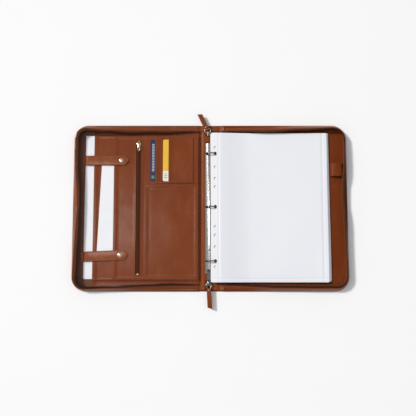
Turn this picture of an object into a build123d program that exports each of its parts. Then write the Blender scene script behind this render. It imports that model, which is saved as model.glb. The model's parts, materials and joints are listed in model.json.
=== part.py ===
from build123d import *
import math
import os

# A zip-around portfolio case with a three-ring mechanism, lying open and flat.
# Origin: centre of the spine on the table. +X: back cover. +Y: head of the case. +Z: up.

# ---------------------------------------------------------------- driving dimensions (mm)
HALF_WIDTH = 276.5  # spine centre to the outer edge of either cover
HALF_HEIGHT = 168.0  # spine centre to head or foot
CORNER_R = 29.0  # outer corners of the covers
HINGE_X = 18.5  # spine centre to either fold line
FOLD_Z = 0.8  # height of the fold lines, inside the outer leather
LEATHER_FOLD_GAP = 0.8  # outer leather stops this far from a fold line
BOARD_FOLD_GAP = 4.0  # boards and linings stop this far from a fold line

LEATHER_T = 1.2
BOARD_T = 1.8
LINING_T = 0.6
LINING_TOP = LEATHER_T + BOARD_T + LINING_T
BOARD_INSET = 3.2

# the low wall round each cover, which carries one half of the zip
WALL_START = HINGE_X + 12.0
WALL_INSET = 0.3
WALL_T = 1.6
WALL_TOP = 14.5
WALL_LEAN = math.radians(12)
TAPE_T = 0.8
TAPE_BOTTOM = 11.0
TAPE_TOP = 18.8
TEETH_T = 1.4
TEETH_BOTTOM = 16.8

# the ring mechanism
RING_Z = 13.3  # centre of the rings
RING_R = 9.4  # to the middle of the wire
WIRE_R = 1.25
RING_PITCH = 108.0
RING_YS = (-RING_PITCH, 0.0, RING_PITCH)
PLATE_HALF_WIDTH = 10.5
PLATE_SKIRT_TOP = 5.0
PLATE_CROWN = 9.0
PLATE_T = 0.8
PLATE_FOOT_Y = -133.0
PLATE_HEAD_Y = 130.0
BLADE_Z = 4.4
BLADE_T = 0.8
BLADE_INNER_X = 0.3
BLADE_OUTER_X = 8.2
BLADE_FOOT_Y = -125.9
BLADE_HEAD_Y = 118.0
RING_GAP = 0.1  # between the tips of two closed half rings
RING_SWEEP = 170.0  # degrees of arc in one half ring
RING_SLOT_X = 4.2  # inner end of the plate's slots for the rings
RING_SLOT_HALF = 1.9
RIVET_YS = (-86.0, 86.0)
SHANK_R = 1.5
RIVET_FOOT_R = 4.0
RIVET_FOOT_T = 0.6
RIVET_HEAD_R = 3.2
RIVET_HEAD_T = 0.8
BLADE_HOLE_R = 2.6
PIN_Y = -129.0
PIN_Z = 6.3
PIN_R = 0.8
RUNNING_GAP = 0.1
LAYER_GAP = 0.05  # between two flat pieces that only lie on each other

# the release lever at the plate's foot
LEVER_HALF_WIDTH = 5.9
LEVER_SIDE_GAP = 0.3
LEVER_NOTCH = 4.5  # the plate's notch reaches this far past the lever's pin
LEVER_LENGTH = 16.5
LEVER_TOP = 9.6
LEVER_HUB_R = 2.1
TOE_HALF_WIDTH = 2.5
TOE_LENGTH = 4.4
TOE_Z = 3.75
TOE_T = 0.55
PIN_HALF_LENGTH = 8.6

# punched pockets on the rings
SLEEVE_COUNT = 7
SLEEVE_BOTTOM = 9.9
SLEEVE_PITCH = 0.85
SLEEVE_T = 0.75
SLEEVE_LEFT = 3.4
SLEEVE_RIGHT = 235.0
SLEEVE_CORNER_R = 3.0
SLEEVE_EDGE = 1.4
SLEEVE_HALF_HEIGHT = 150.0
SLEEVE_WELD_X = 17.0
SLEEVE_CAVITY_T = 0.35
INSERT_T = 0.2
PUNCH_X = 10.0
RING_PUNCH_R = 4.0
SMALL_PUNCH_R = 3.0
SMALL_PUNCH_YS = (40.0, 57.0, 80.0, 120.0)
SHEET_GAP = 2.0  # from a pocket's weld to its sheet
A4_WIDTH = 210.0
A4_HEIGHT = 297.0

# the pen loop beside the right-hand lining
PEN_LOOP_X = 255.5
PEN_LOOP_HEAD = 89.0
PEN_LOOP_LENGTH = 26.5
PEN_LOOP_HALF_WIDTH = 11.5
PEN_LOOP_RISE = 8.8
PEN_BAND_T = 1.2
PEN_FOOT_WIDTH = 4.2
PEN_FOOT_X = 12.4

# pockets on the front cover, each one layer above the last
POCKET_RIGHT = 22.5  # from the spine centre to the pockets' sewn edge
SEAM = 3.0
DOCUMENT_LEFT = 235.0
DOCUMENT_HALF_HEIGHT = 160.0
DOCUMENT_Z = 4.5
DOCUMENT_T = 0.8
FRONT_POCKET_LEFT = 194.4
FRONT_POCKET_HALF_HEIGHT = 147.0
FRONT_POCKET_Z = 6.25
FRONT_POCKET_TOP = 7.05
DRAWING_GAP = 0.01  # lets a cut start just below a panel's back

# the loose sheets in the document pocket and the half-size sheet in front of them
SHEETS_LEFT = 252.0
SHEETS_FOOT = -143.0
SHEETS_HEAD = 145.4
SHEETS_Z = 3.7
SHEETS_T = 0.7
NOTE_X = -148.5
NOTE_Y = -3.6
NOTE_TURN = -2.4
NOTE_WIDTH = 148.0
NOTE_HEIGHT = 210.0
NOTE_Z = 5.4
NOTE_T = 0.4

# the zip in the front pocket
ZIP_X = -144.5
ZIP_WINDOW_HALF_WIDTH = 5.0
ZIP_WINDOW_HALF_LENGTH = 135.0
ZIP_TAPE_HALF_WIDTH = 8.5
ZIP_TAPE_HALF_LENGTH = 139.0
ZIP_TAPE_Z = 5.9
COIL_Z = 6.2
COIL_HALF_WIDTH = 1.4
COIL_TOP = 7.2
STOP_HALF_WIDTH = 2.2
STOP_LENGTH = 1.5
ZIP_SLIDER_HALF_WIDTH = 4.2
ZIP_SLIDER_FOOT = 120.5
ZIP_SLIDER_HEAD = 132.0
ZIP_SLIDER_Z = 6.25
ZIP_SLIDER_TOP = 8.6
ZIP_TUNNEL_HALF_WIDTH = 1.7
ZIP_TUNNEL_TOP = 7.35
ZIP_LUG_HALF_WIDTH = 0.8
ZIP_LUG_HALF_LENGTH = 2.3
ZIP_LUG_TOP = 10.4
ZIP_LINK_Y = 126.0
ZIP_LINK_Z = 9.5
ZIP_LINK_R = 0.5
ZIP_PULL_HALF_WIDTH = 2.6
ZIP_PULL_ARM = 1.2
ZIP_PULL_HALF_T = 0.45
ZIP_PULL_FOOT = 114.0
ZIP_PULL_NECK = 122.0

# the card and slip pockets
CARD_LONG = 85.6
CARD_SHORT = 54.0
CARD_T = 0.7
CARD_Y = 94.8
NAVY_CARD_LEFT = 121.0
NAVY_CARD_Z = 7.1
YELLOW_CARD_LEFT = 95.5
YELLOW_CARD_Z = 8.55
CARD_POCKET_FOOT = 47.5
CARD_POCKET_HEAD = 143.0
REAR_CARD_POCKET_LEFT = 110.8
FRONT_CARD_POCKET_LEFT = 84.3
FRONT_CARD_POCKET_RIGHT = 38.5
LOWER_POCKET_LEFT = 133.0
LOWER_POCKET_FOOT = -145.0
LOWER_POCKET_HEAD = 46.5
LOWER_POCKET_Z = 7.5
LOWER_POCKET_T = 0.7
REAR_CARD_POCKET_Z = 7.9
FRONT_CARD_POCKET_Z = 9.3
FRONT_CARD_POCKET_T = 0.6

# the two press-stud straps
STRAP_ROOT_X = -255.0
STRAP_TIP_X = -163.8
STRAP_POINT = 5.0
STRAP_WIDTH = 20.0
STRAP_Z = 7.6
STRAP_T = 1.2
STUD_X = -180.0
UPPER_STRAP_Y = 94.8
LOWER_STRAP_Y = -99.5
LOWER_STRAP_TURN = 2.5
STUD_R = 4.75
STUD_RISE = 1.4
SOCKET_R = 3.6
SOCKET_TOP = 7.5
ANCHOR_HALF_WIDTH = 9.5
ANCHOR_TOP = 6.6

# the main zip's ends and two sliders, parked on the spine at head and foot
SLIDER_X = -3.0  # the zip's ends lie a little to the left of the spine's middle
HEAD_SLIDER_BACK = 0.4  # the head slider stands this much nearer the middle than the foot one
TAIL_HALF_WIDTH = 7.0
TAIL_INNER_Y = 140.0
TAIL_OUTER_Y = 166.0
TAIL_TOP = 4.1
PATCH_HALF_WIDTH = 12.0
PATCH_INNER_Y = 133.5
PATCH_OUTER_Y = 145.0
PATCH_TOP = 4.6
SLIDER_HALF_WIDTH = 4.5
SLIDER_CORNER_R = 2.0
SLIDER_NEAR_Y = 146.5
SLIDER_FAR_Y = 157.5
SLIDER_TOP = 7.4
LINK_Y = 151.4  # where the pull ring passes through the slider's loop
LINK_Z = 8.9
LUG_HALF_WIDTH = 0.8
LUG_HALF_LENGTH = 2.3
LUG_RISE = 1.9
LUG_HOLE_R = 1.4
PULL_RING_R = 5.8
PULL_WIRE_R = 0.8
TAB_LENGTH = 44.0
TAB_WIDTH = 9.0
TAB_START = 4.3
TAB_FOLD_END = 10.5
TAB_FOLD_HALF_T = 1.6
TAB_HALF_T = 1.1
TAB_POINT = 3.0  # the tab's slanted end begins this far back
TAB_RIVET_Y = 8.6
TAB_SHANK_R = 1.0
TAB_RIVET_R = 2.0
TAB_RIVET_T = 0.5
WIRE_GAP = 0.25
TOP_PULL_TURN = 25.0  # the head pull, ring and all, lies turned to the left
BOTTOM_TAB_TURN = 3.0


# ---------------------------------------------------------------- shared shapes
def block(x0, x1, y0, y1, z0, z1):
    """A box between two corners."""
    middle = Pos((x0 + x1) / 2, (y0 + y1) / 2, (z0 + z1) / 2)
    return middle * Box(x1 - x0, y1 - y0, z1 - z0)


def post(x, y, radius, z0, z1):
    """An upright cylinder."""
    return Pos(x, y, (z0 + z1) / 2) * Cylinder(radius, z1 - z0)


def cross_bar(y, z, radius, half_length):
    """A cylinder along X."""
    return Pos(0, y, z) * Rot(0, 90, 0) * Cylinder(radius, 2 * half_length)


def cover_outline(inset, start):
    """One cover seen from above, with its two outer corners rounded."""
    right = HALF_WIDTH - inset
    outline = Pos((start + right) / 2, 0) * Rectangle(right - start, 2 * (HALF_HEIGHT - inset))
    outer_corners = outline.vertices().sort_by(Axis.X)[-2:]
    return fillet(outer_corners, CORNER_R - inset)


def cover_sheet(inset, start, z0, z1):
    """A flat sheet in the shape of a cover."""
    return Pos(0, 0, z0) * extrude(cover_outline(inset, start), z1 - z0)


def leaning_block(inset, z0, z1):
    """A cover-shaped block whose sides lean inwards as they rise."""
    low = cover_outline(inset + z0 * math.tan(WALL_LEAN), 0)
    high = cover_outline(inset + z1 * math.tan(WALL_LEAN), 0)
    return loft([Pos(0, 0, z0) * low, Pos(0, 0, z1) * high], ruled=True)


def wall_band(inset, thickness, z0, z1):
    """A leaning band round the three free sides of a cover."""
    band = leaning_block(inset, z0, z1) - leaning_block(inset + thickness, z0, z1)
    return band - block(-1, WALL_START, -HALF_HEIGHT, HALF_HEIGHT, z0 - 1, z1 + 1)


def sewn_pocket(left, right, foot, head, z0, z1, base, open_side="left"):
    """A flat panel over x = -left to -right, sewn down to base on the sides that aren't open."""
    panel = block(-left, -right, foot, head, z0, z1)
    panel += block(-right - SEAM, -right, foot, head, base, z0)
    panel += block(-left, -right, foot, foot + SEAM, base, z0)
    if open_side == "left":
        panel += block(-left, -right, head - SEAM, head, base, z0)
    else:
        panel += block(-left, -left + SEAM, foot, head, base, z0)
    return panel


# ---------------------------------------------------------------- covers and spine
def cover_parts():
    """The back cover's layers and zip wall; the front cover is their mirror image."""
    board_start = HINGE_X + BOARD_FOLD_GAP
    board_top = LEATHER_T + BOARD_T
    tape_inset = WALL_INSET + WALL_T
    return {
        "cover_leather": cover_sheet(0, HINGE_X + LEATHER_FOLD_GAP, 0, LEATHER_T),
        "cover_board": cover_sheet(BOARD_INSET, board_start, LEATHER_T, board_top),
        "cover_lining": cover_sheet(BOARD_INSET, board_start, board_top, LINING_TOP),
        "zip_wall": wall_band(WALL_INSET, WALL_T, LEATHER_T, WALL_TOP),
        "zip_tape": wall_band(tape_inset, TAPE_T, TAPE_BOTTOM, TAPE_TOP),
        "zip_teeth": wall_band(tape_inset + TAPE_T, TEETH_T, TEETH_BOTTOM, TAPE_TOP),
    }


def spine_parts():
    leather_x = HINGE_X - LEATHER_FOLD_GAP
    board_x = HINGE_X - BOARD_FOLD_GAP
    board_y = HALF_HEIGHT - BOARD_INSET
    board_top = LEATHER_T + BOARD_T
    board = block(-board_x, board_x, -board_y, board_y, LEATHER_T, board_top)
    lining = block(-board_x, board_x, -board_y, board_y, board_top, LINING_TOP)
    foot_top = LEATHER_T + RIVET_FOOT_T
    for y in RIVET_YS:
        board -= post(0, y, RIVET_FOOT_R + RUNNING_GAP, LEATHER_T, foot_top + RUNNING_GAP)
        board -= post(0, y, SHANK_R + RUNNING_GAP, LEATHER_T, board_top)
        lining -= post(0, y, SHANK_R + RUNNING_GAP, board_top, LINING_TOP)
    tails = []
    patches = []
    for side in (-1, 1):
        near, far = sorted((side * TAIL_INNER_Y, side * TAIL_OUTER_Y))
        tail_left, tail_right = SLIDER_X - TAIL_HALF_WIDTH, SLIDER_X + TAIL_HALF_WIDTH
        tail = block(tail_left, tail_right, near, far, LINING_TOP, TAIL_TOP)
        near, far = sorted((side * PATCH_INNER_Y, side * PATCH_OUTER_Y))
        patch = block(-PATCH_HALF_WIDTH, PATCH_HALF_WIDTH, near, far, LINING_TOP, PATCH_TOP)
        patches.append(patch - tail)
        tails.append(tail)
    return {
        "spine_leather": block(-leather_x, leather_x, -HALF_HEIGHT, HALF_HEIGHT, 0, LEATHER_T),
        "spine_board": board,
        "spine_lining": lining,
        "zip_tape_tails": tails,
        "zip_end_patches": patches,
    }


# ---------------------------------------------------------------- ring mechanism
def arch(half_width, crown, skirt_top, base):
    """Section of the ring plate: upright skirts under a shallow arc."""
    right_skirt = Line((half_width, base), (half_width, skirt_top))
    crown_arc = ThreePointArc((half_width, skirt_top), (0, crown), (-half_width, skirt_top))
    left_skirt = Line((-half_width, skirt_top), (-half_width, base))
    sole = Line((-half_width, base), (half_width, base))
    return make_face(right_skirt + crown_arc + left_skirt + sole)


def ring_plate():
    outside = arch(PLATE_HALF_WIDTH, PLATE_CROWN, PLATE_SKIRT_TOP, LINING_TOP)
    inner_width = PLATE_HALF_WIDTH - PLATE_T
    inside = arch(inner_width, PLATE_CROWN - PLATE_T, PLATE_SKIRT_TOP - 0.2, LINING_TOP)
    across = Plane((0, PLATE_HEAD_Y, 0), x_dir=(1, 0, 0), z_dir=(0, -1, 0))
    plate = extrude(across * (outside - inside), PLATE_HEAD_Y - PLATE_FOOT_Y)
    beside = PLATE_HALF_WIDTH + 1
    above = PLATE_CROWN + 1
    for y in RING_YS:
        slot_y = (y - RING_SLOT_HALF, y + RING_SLOT_HALF)
        plate -= block(RING_SLOT_X, beside, *slot_y, PLATE_SKIRT_TOP, above)
        plate -= block(-beside, -RING_SLOT_X, *slot_y, PLATE_SKIRT_TOP, above)
    for y in RIVET_YS:
        plate -= post(0, y, SHANK_R + RUNNING_GAP, PLATE_SKIRT_TOP + 1, above)
    notch_x = LEVER_HALF_WIDTH + LEVER_SIDE_GAP
    notch_y = (PLATE_FOOT_Y - 1, PIN_Y + LEVER_NOTCH)
    plate -= block(-notch_x, notch_x, *notch_y, PLATE_SKIRT_TOP, above)
    return plate - cross_bar(PIN_Y, PIN_Z, PIN_R + RUNNING_GAP, beside)


def half_rings():
    """The right halves of the three rings, down to their feet on the blade."""
    rings = []
    for y in RING_YS:
        top = Plane((0, y, RING_Z + RING_R), x_dir=(0, 1, 0), z_dir=(1, 0, 0))
        middle = Axis((0, y, RING_Z), (0, 1, 0))
        wire = revolve(top * Circle(WIRE_R), middle, RING_SWEEP)
        reach = RING_R + WIRE_R + 1
        beside = 2 * WIRE_R
        keep = block(
            RING_GAP / 2, reach, y - beside, y + beside, BLADE_Z + BLADE_T, RING_Z + reach
        )
        rings.append(wire & keep)
    return rings


def blade():
    """The right-hand leaf spring rail that carries three half rings."""
    top = BLADE_Z + BLADE_T
    rail = block(BLADE_INNER_X, BLADE_OUTER_X, BLADE_FOOT_Y, BLADE_HEAD_Y, BLADE_Z, top)
    for y in RIVET_YS:
        rail -= post(0, y, BLADE_HOLE_R, BLADE_Z, top)
    return rail


def plate_rivets():
    rivets = []
    for y in RIVET_YS:
        rivet = post(0, y, RIVET_FOOT_R, LEATHER_T, LEATHER_T + RIVET_FOOT_T)
        rivet += post(0, y, SHANK_R, LEATHER_T, PLATE_CROWN)
        rivet += post(0, y, RIVET_HEAD_R, PLATE_CROWN, PLATE_CROWN + RIVET_HEAD_T)
        rivets.append(rivet)
    return rivets


def release_lever():
    """A thumb lever whose toe lifts the blades when its outer end is pressed down."""
    tip_y = PIN_Y - LEVER_LENGTH
    side = Polyline(
        (PIN_Y, PIN_Z - 1), (PIN_Y, LEVER_TOP - 1.4), (PIN_Y - 7, LEVER_TOP),
        (tip_y, LEVER_TOP), (tip_y, LEVER_TOP - 1.2), (PIN_Y - 7.5, LEVER_TOP - 1.3),
        (PIN_Y - 2, PIN_Z - 0.7), close=True,
    )
    along = Plane((-LEVER_HALF_WIDTH, 0, 0), x_dir=(0, 1, 0), z_dir=(1, 0, 0))
    lever = extrude(along * make_face(side), 2 * LEVER_HALF_WIDTH)
    lever += cross_bar(PIN_Y, PIN_Z, LEVER_HUB_R, LEVER_HALF_WIDTH)
    toe_x = (-TOE_HALF_WIDTH, TOE_HALF_WIDTH)
    lever += block(*toe_x, PIN_Y - 0.5, PIN_Y + 1.5, TOE_Z, PIN_Z - 1.3)
    lever += block(*toe_x, PIN_Y - 0.5, PIN_Y + TOE_LENGTH, TOE_Z, TOE_Z + TOE_T)
    return lever - cross_bar(PIN_Y, PIN_Z, PIN_R + RUNNING_GAP, 2 * LEVER_HALF_WIDTH)


# ---------------------------------------------------------------- punched pockets
def sleeve(z):
    """A clear pocket open at the head, with eleven holes along its binding edge."""
    height = SLEEVE_HALF_HEIGHT
    width = SLEEVE_RIGHT - SLEEVE_LEFT
    outline = Pos(SLEEVE_LEFT + width / 2, 0) * Rectangle(width, 2 * height)
    outer_corners = outline.vertices().sort_by(Axis.X)[-2:]
    sheet = Pos(0, 0, z) * extrude(fillet(outer_corners, SLEEVE_CORNER_R), SLEEVE_T)
    skin = (SLEEVE_T - SLEEVE_CAVITY_T) / 2
    cavity = (SLEEVE_WELD_X, SLEEVE_RIGHT - SLEEVE_EDGE, SLEEVE_EDGE - height, height + 1)
    sheet -= block(*cavity, z + skin, z + SLEEVE_T - skin)
    for y in RING_YS:
        sheet -= post(PUNCH_X, y, RING_PUNCH_R, z - 1, z + 2)
    for y in SMALL_PUNCH_YS:
        sheet -= post(PUNCH_X, y, SMALL_PUNCH_R, z - 1, z + 2)
        sheet -= post(PUNCH_X, -y, SMALL_PUNCH_R, z - 1, z + 2)
    return sheet


def insert(z):
    """The A4 sheet inside a pocket."""
    low = z + (SLEEVE_T - INSERT_T) / 2
    left = SLEEVE_WELD_X + SHEET_GAP
    half_height = A4_HEIGHT / 2
    return block(left, left + A4_WIDTH, -half_height, half_height, low, low + INSERT_T)


def page_parts():
    heights = [SLEEVE_BOTTOM + SLEEVE_PITCH * i for i in range(SLEEVE_COUNT)]
    return {
        "sleeve_stack": [sleeve(z) for z in heights[:-1]],
        "stack_inserts": [insert(z) for z in heights[:-1]],
        "top_sleeve": sleeve(heights[-1]),
        "top_insert": insert(heights[-1]),
    }


def pen_loop():
    """A leather band arched over the lining, for a pen lying along Y."""
    inner_half_width = PEN_LOOP_HALF_WIDTH - PEN_BAND_T
    band = Ellipse(PEN_LOOP_HALF_WIDTH, PEN_LOOP_RISE)
    band -= Ellipse(inner_half_width, PEN_LOOP_RISE - PEN_BAND_T)
    upper_half = Rectangle(4 * PEN_LOOP_HALF_WIDTH, 2 * PEN_LOOP_HALF_WIDTH)
    band &= Pos(0, PEN_LOOP_HALF_WIDTH) * upper_half
    for side in (-1, 1):
        foot = Rectangle(PEN_FOOT_WIDTH, PEN_BAND_T)
        band += Pos(side * PEN_FOOT_X, PEN_BAND_T / 2) * foot
    origin = (PEN_LOOP_X, PEN_LOOP_HEAD, LINING_TOP)
    across = Plane(origin, x_dir=(1, 0, 0), z_dir=(0, -1, 0))
    return extrude(across * band, PEN_LOOP_LENGTH)


# ---------------------------------------------------------------- front cover pockets
def document_pocket():
    top = DOCUMENT_Z + DOCUMENT_T
    height = DOCUMENT_HALF_HEIGHT
    return sewn_pocket(DOCUMENT_LEFT, POCKET_RIGHT, -height, height, DOCUMENT_Z, top, LINING_TOP)


def front_pocket():
    """The large pocket, with an upright window for its zip."""
    height = FRONT_POCKET_HALF_HEIGHT
    base = DOCUMENT_Z + DOCUMENT_T
    panel = sewn_pocket(
        FRONT_POCKET_LEFT, POCKET_RIGHT, -height, height, FRONT_POCKET_Z, FRONT_POCKET_TOP, base
    )
    left = ZIP_X - ZIP_WINDOW_HALF_WIDTH
    right = ZIP_X + ZIP_WINDOW_HALF_WIDTH
    length = ZIP_WINDOW_HALF_LENGTH
    window_z = (FRONT_POCKET_Z - DRAWING_GAP, FRONT_POCKET_TOP + 1)
    return panel - block(left, right, -length, length, *window_z)


def pocket_parts():
    base = FRONT_POCKET_TOP
    inner_right = POCKET_RIGHT + 2
    sheets_x = (-SHEETS_LEFT, A4_WIDTH - SHEETS_LEFT)
    sheets_z = (SHEETS_Z, SHEETS_Z + SHEETS_T)
    note = Pos(0, 0, NOTE_Z + NOTE_T / 2) * Box(NOTE_WIDTH, NOTE_HEIGHT, NOTE_T)
    card_y = (CARD_Y - CARD_LONG / 2, CARD_Y + CARD_LONG / 2)
    pocket_y = (CARD_POCKET_FOOT, CARD_POCKET_HEAD)
    front_base = YELLOW_CARD_Z - LAYER_GAP
    front_top = FRONT_CARD_POCKET_Z + FRONT_CARD_POCKET_T
    lower_y = (LOWER_POCKET_FOOT, LOWER_POCKET_HEAD)
    lower_z = (LOWER_POCKET_Z, LOWER_POCKET_Z + LOWER_POCKET_T)
    return {
        "document_pocket": document_pocket(),
        "document_sheets": block(*sheets_x, SHEETS_FOOT, SHEETS_HEAD, *sheets_z),
        "front_pocket": front_pocket(),
        "note_sheet": Pos(NOTE_X, NOTE_Y, 0) * Rot(0, 0, NOTE_TURN) * note,
        "lower_pocket": sewn_pocket(LOWER_POCKET_LEFT, inner_right, *lower_y, *lower_z, base, "top"),
        "rear_card_pocket": sewn_pocket(
            REAR_CARD_POCKET_LEFT, inner_right, *pocket_y, REAR_CARD_POCKET_Z, front_base, base
        ),
        "front_card_pocket": sewn_pocket(
            FRONT_CARD_POCKET_LEFT, FRONT_CARD_POCKET_RIGHT, *pocket_y, FRONT_CARD_POCKET_Z,
            front_top, front_base
        ),
        "navy_card": card(NAVY_CARD_LEFT, card_y, NAVY_CARD_Z),
        "yellow_card": card(YELLOW_CARD_LEFT, card_y, YELLOW_CARD_Z),
    }


def card(left, span, z):
    """A bank-card sized card on its short side."""
    return block(-left, CARD_SHORT - left, *span, z, z + CARD_T)


def pocket_slider_body():
    """The pocket zip's slider, with a tunnel for the coil and a lug for its pull."""
    width = ZIP_SLIDER_HALF_WIDTH
    tunnel = ZIP_TUNNEL_HALF_WIDTH
    lug_y = (ZIP_LINK_Y - ZIP_LUG_HALF_LENGTH, ZIP_LINK_Y + ZIP_LUG_HALF_LENGTH)
    body = block(-width, width, ZIP_SLIDER_FOOT, ZIP_SLIDER_HEAD, ZIP_SLIDER_Z, ZIP_SLIDER_TOP)
    tunnel_y = (ZIP_SLIDER_FOOT - 1, ZIP_SLIDER_HEAD + 1)
    body -= block(-tunnel, tunnel, *tunnel_y, ZIP_SLIDER_Z - 1, ZIP_TUNNEL_TOP)
    body += block(-ZIP_LUG_HALF_WIDTH, ZIP_LUG_HALF_WIDTH, *lug_y, ZIP_SLIDER_TOP, ZIP_LUG_TOP)
    return body - cross_bar(ZIP_LINK_Y, ZIP_LINK_Z, ZIP_LINK_R + RUNNING_GAP, width)


def pocket_pull():
    """A flat pull whose two arms carry a pin through the slider's lug."""
    outer = ZIP_PULL_HALF_WIDTH
    inner = outer - ZIP_PULL_ARM
    pull_z = (ZIP_LINK_Z - ZIP_PULL_HALF_T, ZIP_LINK_Z + ZIP_PULL_HALF_T)
    pull = cross_bar(ZIP_LINK_Y, ZIP_LINK_Z, ZIP_LINK_R, outer)
    pull += block(-outer, -inner, ZIP_PULL_NECK - 1, ZIP_LINK_Y, *pull_z)
    pull += block(inner, outer, ZIP_PULL_NECK - 1, ZIP_LINK_Y, *pull_z)
    return pull + block(-outer, outer, ZIP_PULL_FOOT, ZIP_PULL_NECK, *pull_z)


def pocket_zip_parts():
    length = ZIP_WINDOW_HALF_LENGTH
    coil_y = length - STOP_LENGTH - RUNNING_GAP
    tape_y = ZIP_TAPE_HALF_LENGTH
    tape = block(-ZIP_TAPE_HALF_WIDTH, ZIP_TAPE_HALF_WIDTH, -tape_y, tape_y, ZIP_TAPE_Z, COIL_Z)
    coil = block(-COIL_HALF_WIDTH, COIL_HALF_WIDTH, -coil_y, coil_y, COIL_Z, COIL_TOP)
    stops = []
    for y0 in (-length, length - STOP_LENGTH):
        stop = block(-STOP_HALF_WIDTH, STOP_HALF_WIDTH, y0, y0 + STOP_LENGTH, COIL_Z, COIL_TOP)
        stops.append(Pos(ZIP_X, 0, 0) * stop)
    return {
        "pocket_zip_tape": Pos(ZIP_X, 0, 0) * tape,
        "pocket_zip_teeth": Pos(ZIP_X, 0, 0) * coil,
        "pocket_zip_stops": stops,
        "pocket_zip_slider": Pos(ZIP_X, 0, 0) * pocket_slider_body(),
        "pocket_zip_pull": Pos(ZIP_X, 0, 0) * pocket_pull(),
    }


# ---------------------------------------------------------------- straps and press studs
def strap_frame(y, turn):
    """Places a strap drawn from its root along +X."""
    return Pos(STRAP_ROOT_X, y, 0) * Rot(0, 0, turn)


def strap():
    length = STRAP_TIP_X - STRAP_ROOT_X
    half = STRAP_WIDTH / 2
    outline = Polyline(
        (0, -half), (length - STRAP_POINT, -half), (length, 0), (length - STRAP_POINT, half),
        (0, half), close=True,
    )
    band = Pos(0, 0, STRAP_Z) * extrude(make_face(outline), STRAP_T)
    hole_x = STUD_X - STRAP_ROOT_X
    return band - post(hole_x, 0, SHANK_R + RUNNING_GAP, STRAP_Z - 1, STRAP_Z + 2)


def stud_cap():
    """A domed brass cap on a short shank."""
    top = STRAP_Z + STRAP_T
    ball_r = (STUD_R ** 2 + STUD_RISE ** 2) / (2 * STUD_RISE)
    dome = Pos(0, 0, top + STUD_RISE - ball_r) * Sphere(ball_r)
    dome &= block(-STUD_R - 1, STUD_R + 1, -STUD_R - 1, STUD_R + 1, top, top + STUD_RISE + 1)
    dome += post(0, 0, SHANK_R, STRAP_Z + RUNNING_GAP, top)
    return Pos(STUD_X - STRAP_ROOT_X, 0, 0) * dome


def strap_parts():
    parts = {"strap_anchors": [], "stud_sockets": []}
    places = {"upper": strap_frame(UPPER_STRAP_Y, 0)}
    places["lower"] = strap_frame(LOWER_STRAP_Y, LOWER_STRAP_TURN)
    for name, place in places.items():
        parts[name + "_strap"] = place * strap()
        parts[name + "_stud_cap"] = place * stud_cap()
        anchor = block(-3, 1.4, -ANCHOR_HALF_WIDTH, ANCHOR_HALF_WIDTH, LINING_TOP, ANCHOR_TOP)
        parts["strap_anchors"].append(place * anchor)
        socket = post(STUD_X - STRAP_ROOT_X, 0, SOCKET_R, FRONT_POCKET_TOP, SOCKET_TOP)
        parts["stud_sockets"].append(place * socket)
    return parts


# ---------------------------------------------------------------- main zip sliders
def slider_body():
    """One main slider, with a lug on top for the pull ring."""
    width = SLIDER_HALF_WIDTH
    bottom = TAIL_TOP + LAYER_GAP
    body = block(-width, width, SLIDER_NEAR_Y, SLIDER_FAR_Y, bottom, SLIDER_TOP)
    upright_edges = body.edges().filter_by(Axis.Z)
    body = fillet(upright_edges, SLIDER_CORNER_R)
    lug_y = (LINK_Y - LUG_HALF_LENGTH, LINK_Y + LUG_HALF_LENGTH)
    body += block(-LUG_HALF_WIDTH, LUG_HALF_WIDTH, *lug_y, SLIDER_TOP, LINK_Z + LUG_RISE)
    return body - cross_bar(LINK_Y, LINK_Z, LUG_HOLE_R, width)


def pull_ring():
    """The ring drawn from the slider's lug along +Y."""
    return Pos(0, PULL_RING_R, LINK_Z) * Torus(PULL_RING_R, PULL_WIRE_R)


def pull_tab():
    """A folded leather tab drawn from the ring's centre along +Y, with its rivet hole."""
    half = TAB_WIDTH / 2
    fold_z = (LINK_Z - TAB_FOLD_HALF_T, LINK_Z + TAB_FOLD_HALF_T)
    tab_z = (LINK_Z - TAB_HALF_T, LINK_Z + TAB_HALF_T)
    point_y = TAB_LENGTH - TAB_POINT
    tab = block(-half, half, TAB_START, TAB_FOLD_END, *fold_z)
    tab += block(-half, half, TAB_FOLD_END - 0.5, point_y, *tab_z)
    end = Polyline(
        (-half, point_y), (half, point_y), (half, TAB_LENGTH), (-half, TAB_LENGTH - 2), close=True
    )
    tab += Pos(0, 0, LINK_Z - TAB_HALF_T) * extrude(make_face(end), 2 * TAB_HALF_T)
    tab -= Pos(0, 0, LINK_Z) * Torus(PULL_RING_R, PULL_WIRE_R + WIRE_GAP)
    return tab - post(0, TAB_RIVET_Y, TAB_SHANK_R + RUNNING_GAP, LINK_Z - 3, LINK_Z + 3)


def tab_rivet():
    bottom, top = LINK_Z - TAB_FOLD_HALF_T, LINK_Z + TAB_FOLD_HALF_T
    shank = post(0, TAB_RIVET_Y, TAB_SHANK_R, bottom, top)
    shank += post(0, TAB_RIVET_Y, TAB_RIVET_R, top, top + TAB_RIVET_T)
    return shank + post(0, TAB_RIVET_Y, TAB_RIVET_R, bottom - TAB_RIVET_T, bottom)


def main_zip_parts():
    parts = {}
    head_place = Pos(SLIDER_X, -HEAD_SLIDER_BACK, 0)
    foot_place = Pos(SLIDER_X, 0, 0) * Rot(0, 0, 180)
    ends = {"top": (head_place, TOP_PULL_TURN, 0), "bottom": (foot_place, 0, BOTTOM_TAB_TURN)}
    for end, (place, pull_turn, tab_turn) in ends.items():
        link_place = place * Pos(0, LINK_Y, 0) * Rot(0, 0, pull_turn)
        tab_place = link_place * Pos(0, PULL_RING_R, 0) * Rot(0, 0, tab_turn)
        parts[end + "_zip_slider"] = place * slider_body()
        parts[end + "_pull_ring"] = link_place * pull_ring()
        parts[end + "_pull_tab"] = tab_place * pull_tab()
        parts[end + "_tab_rivet"] = tab_place * tab_rivet()
    return parts


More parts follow.
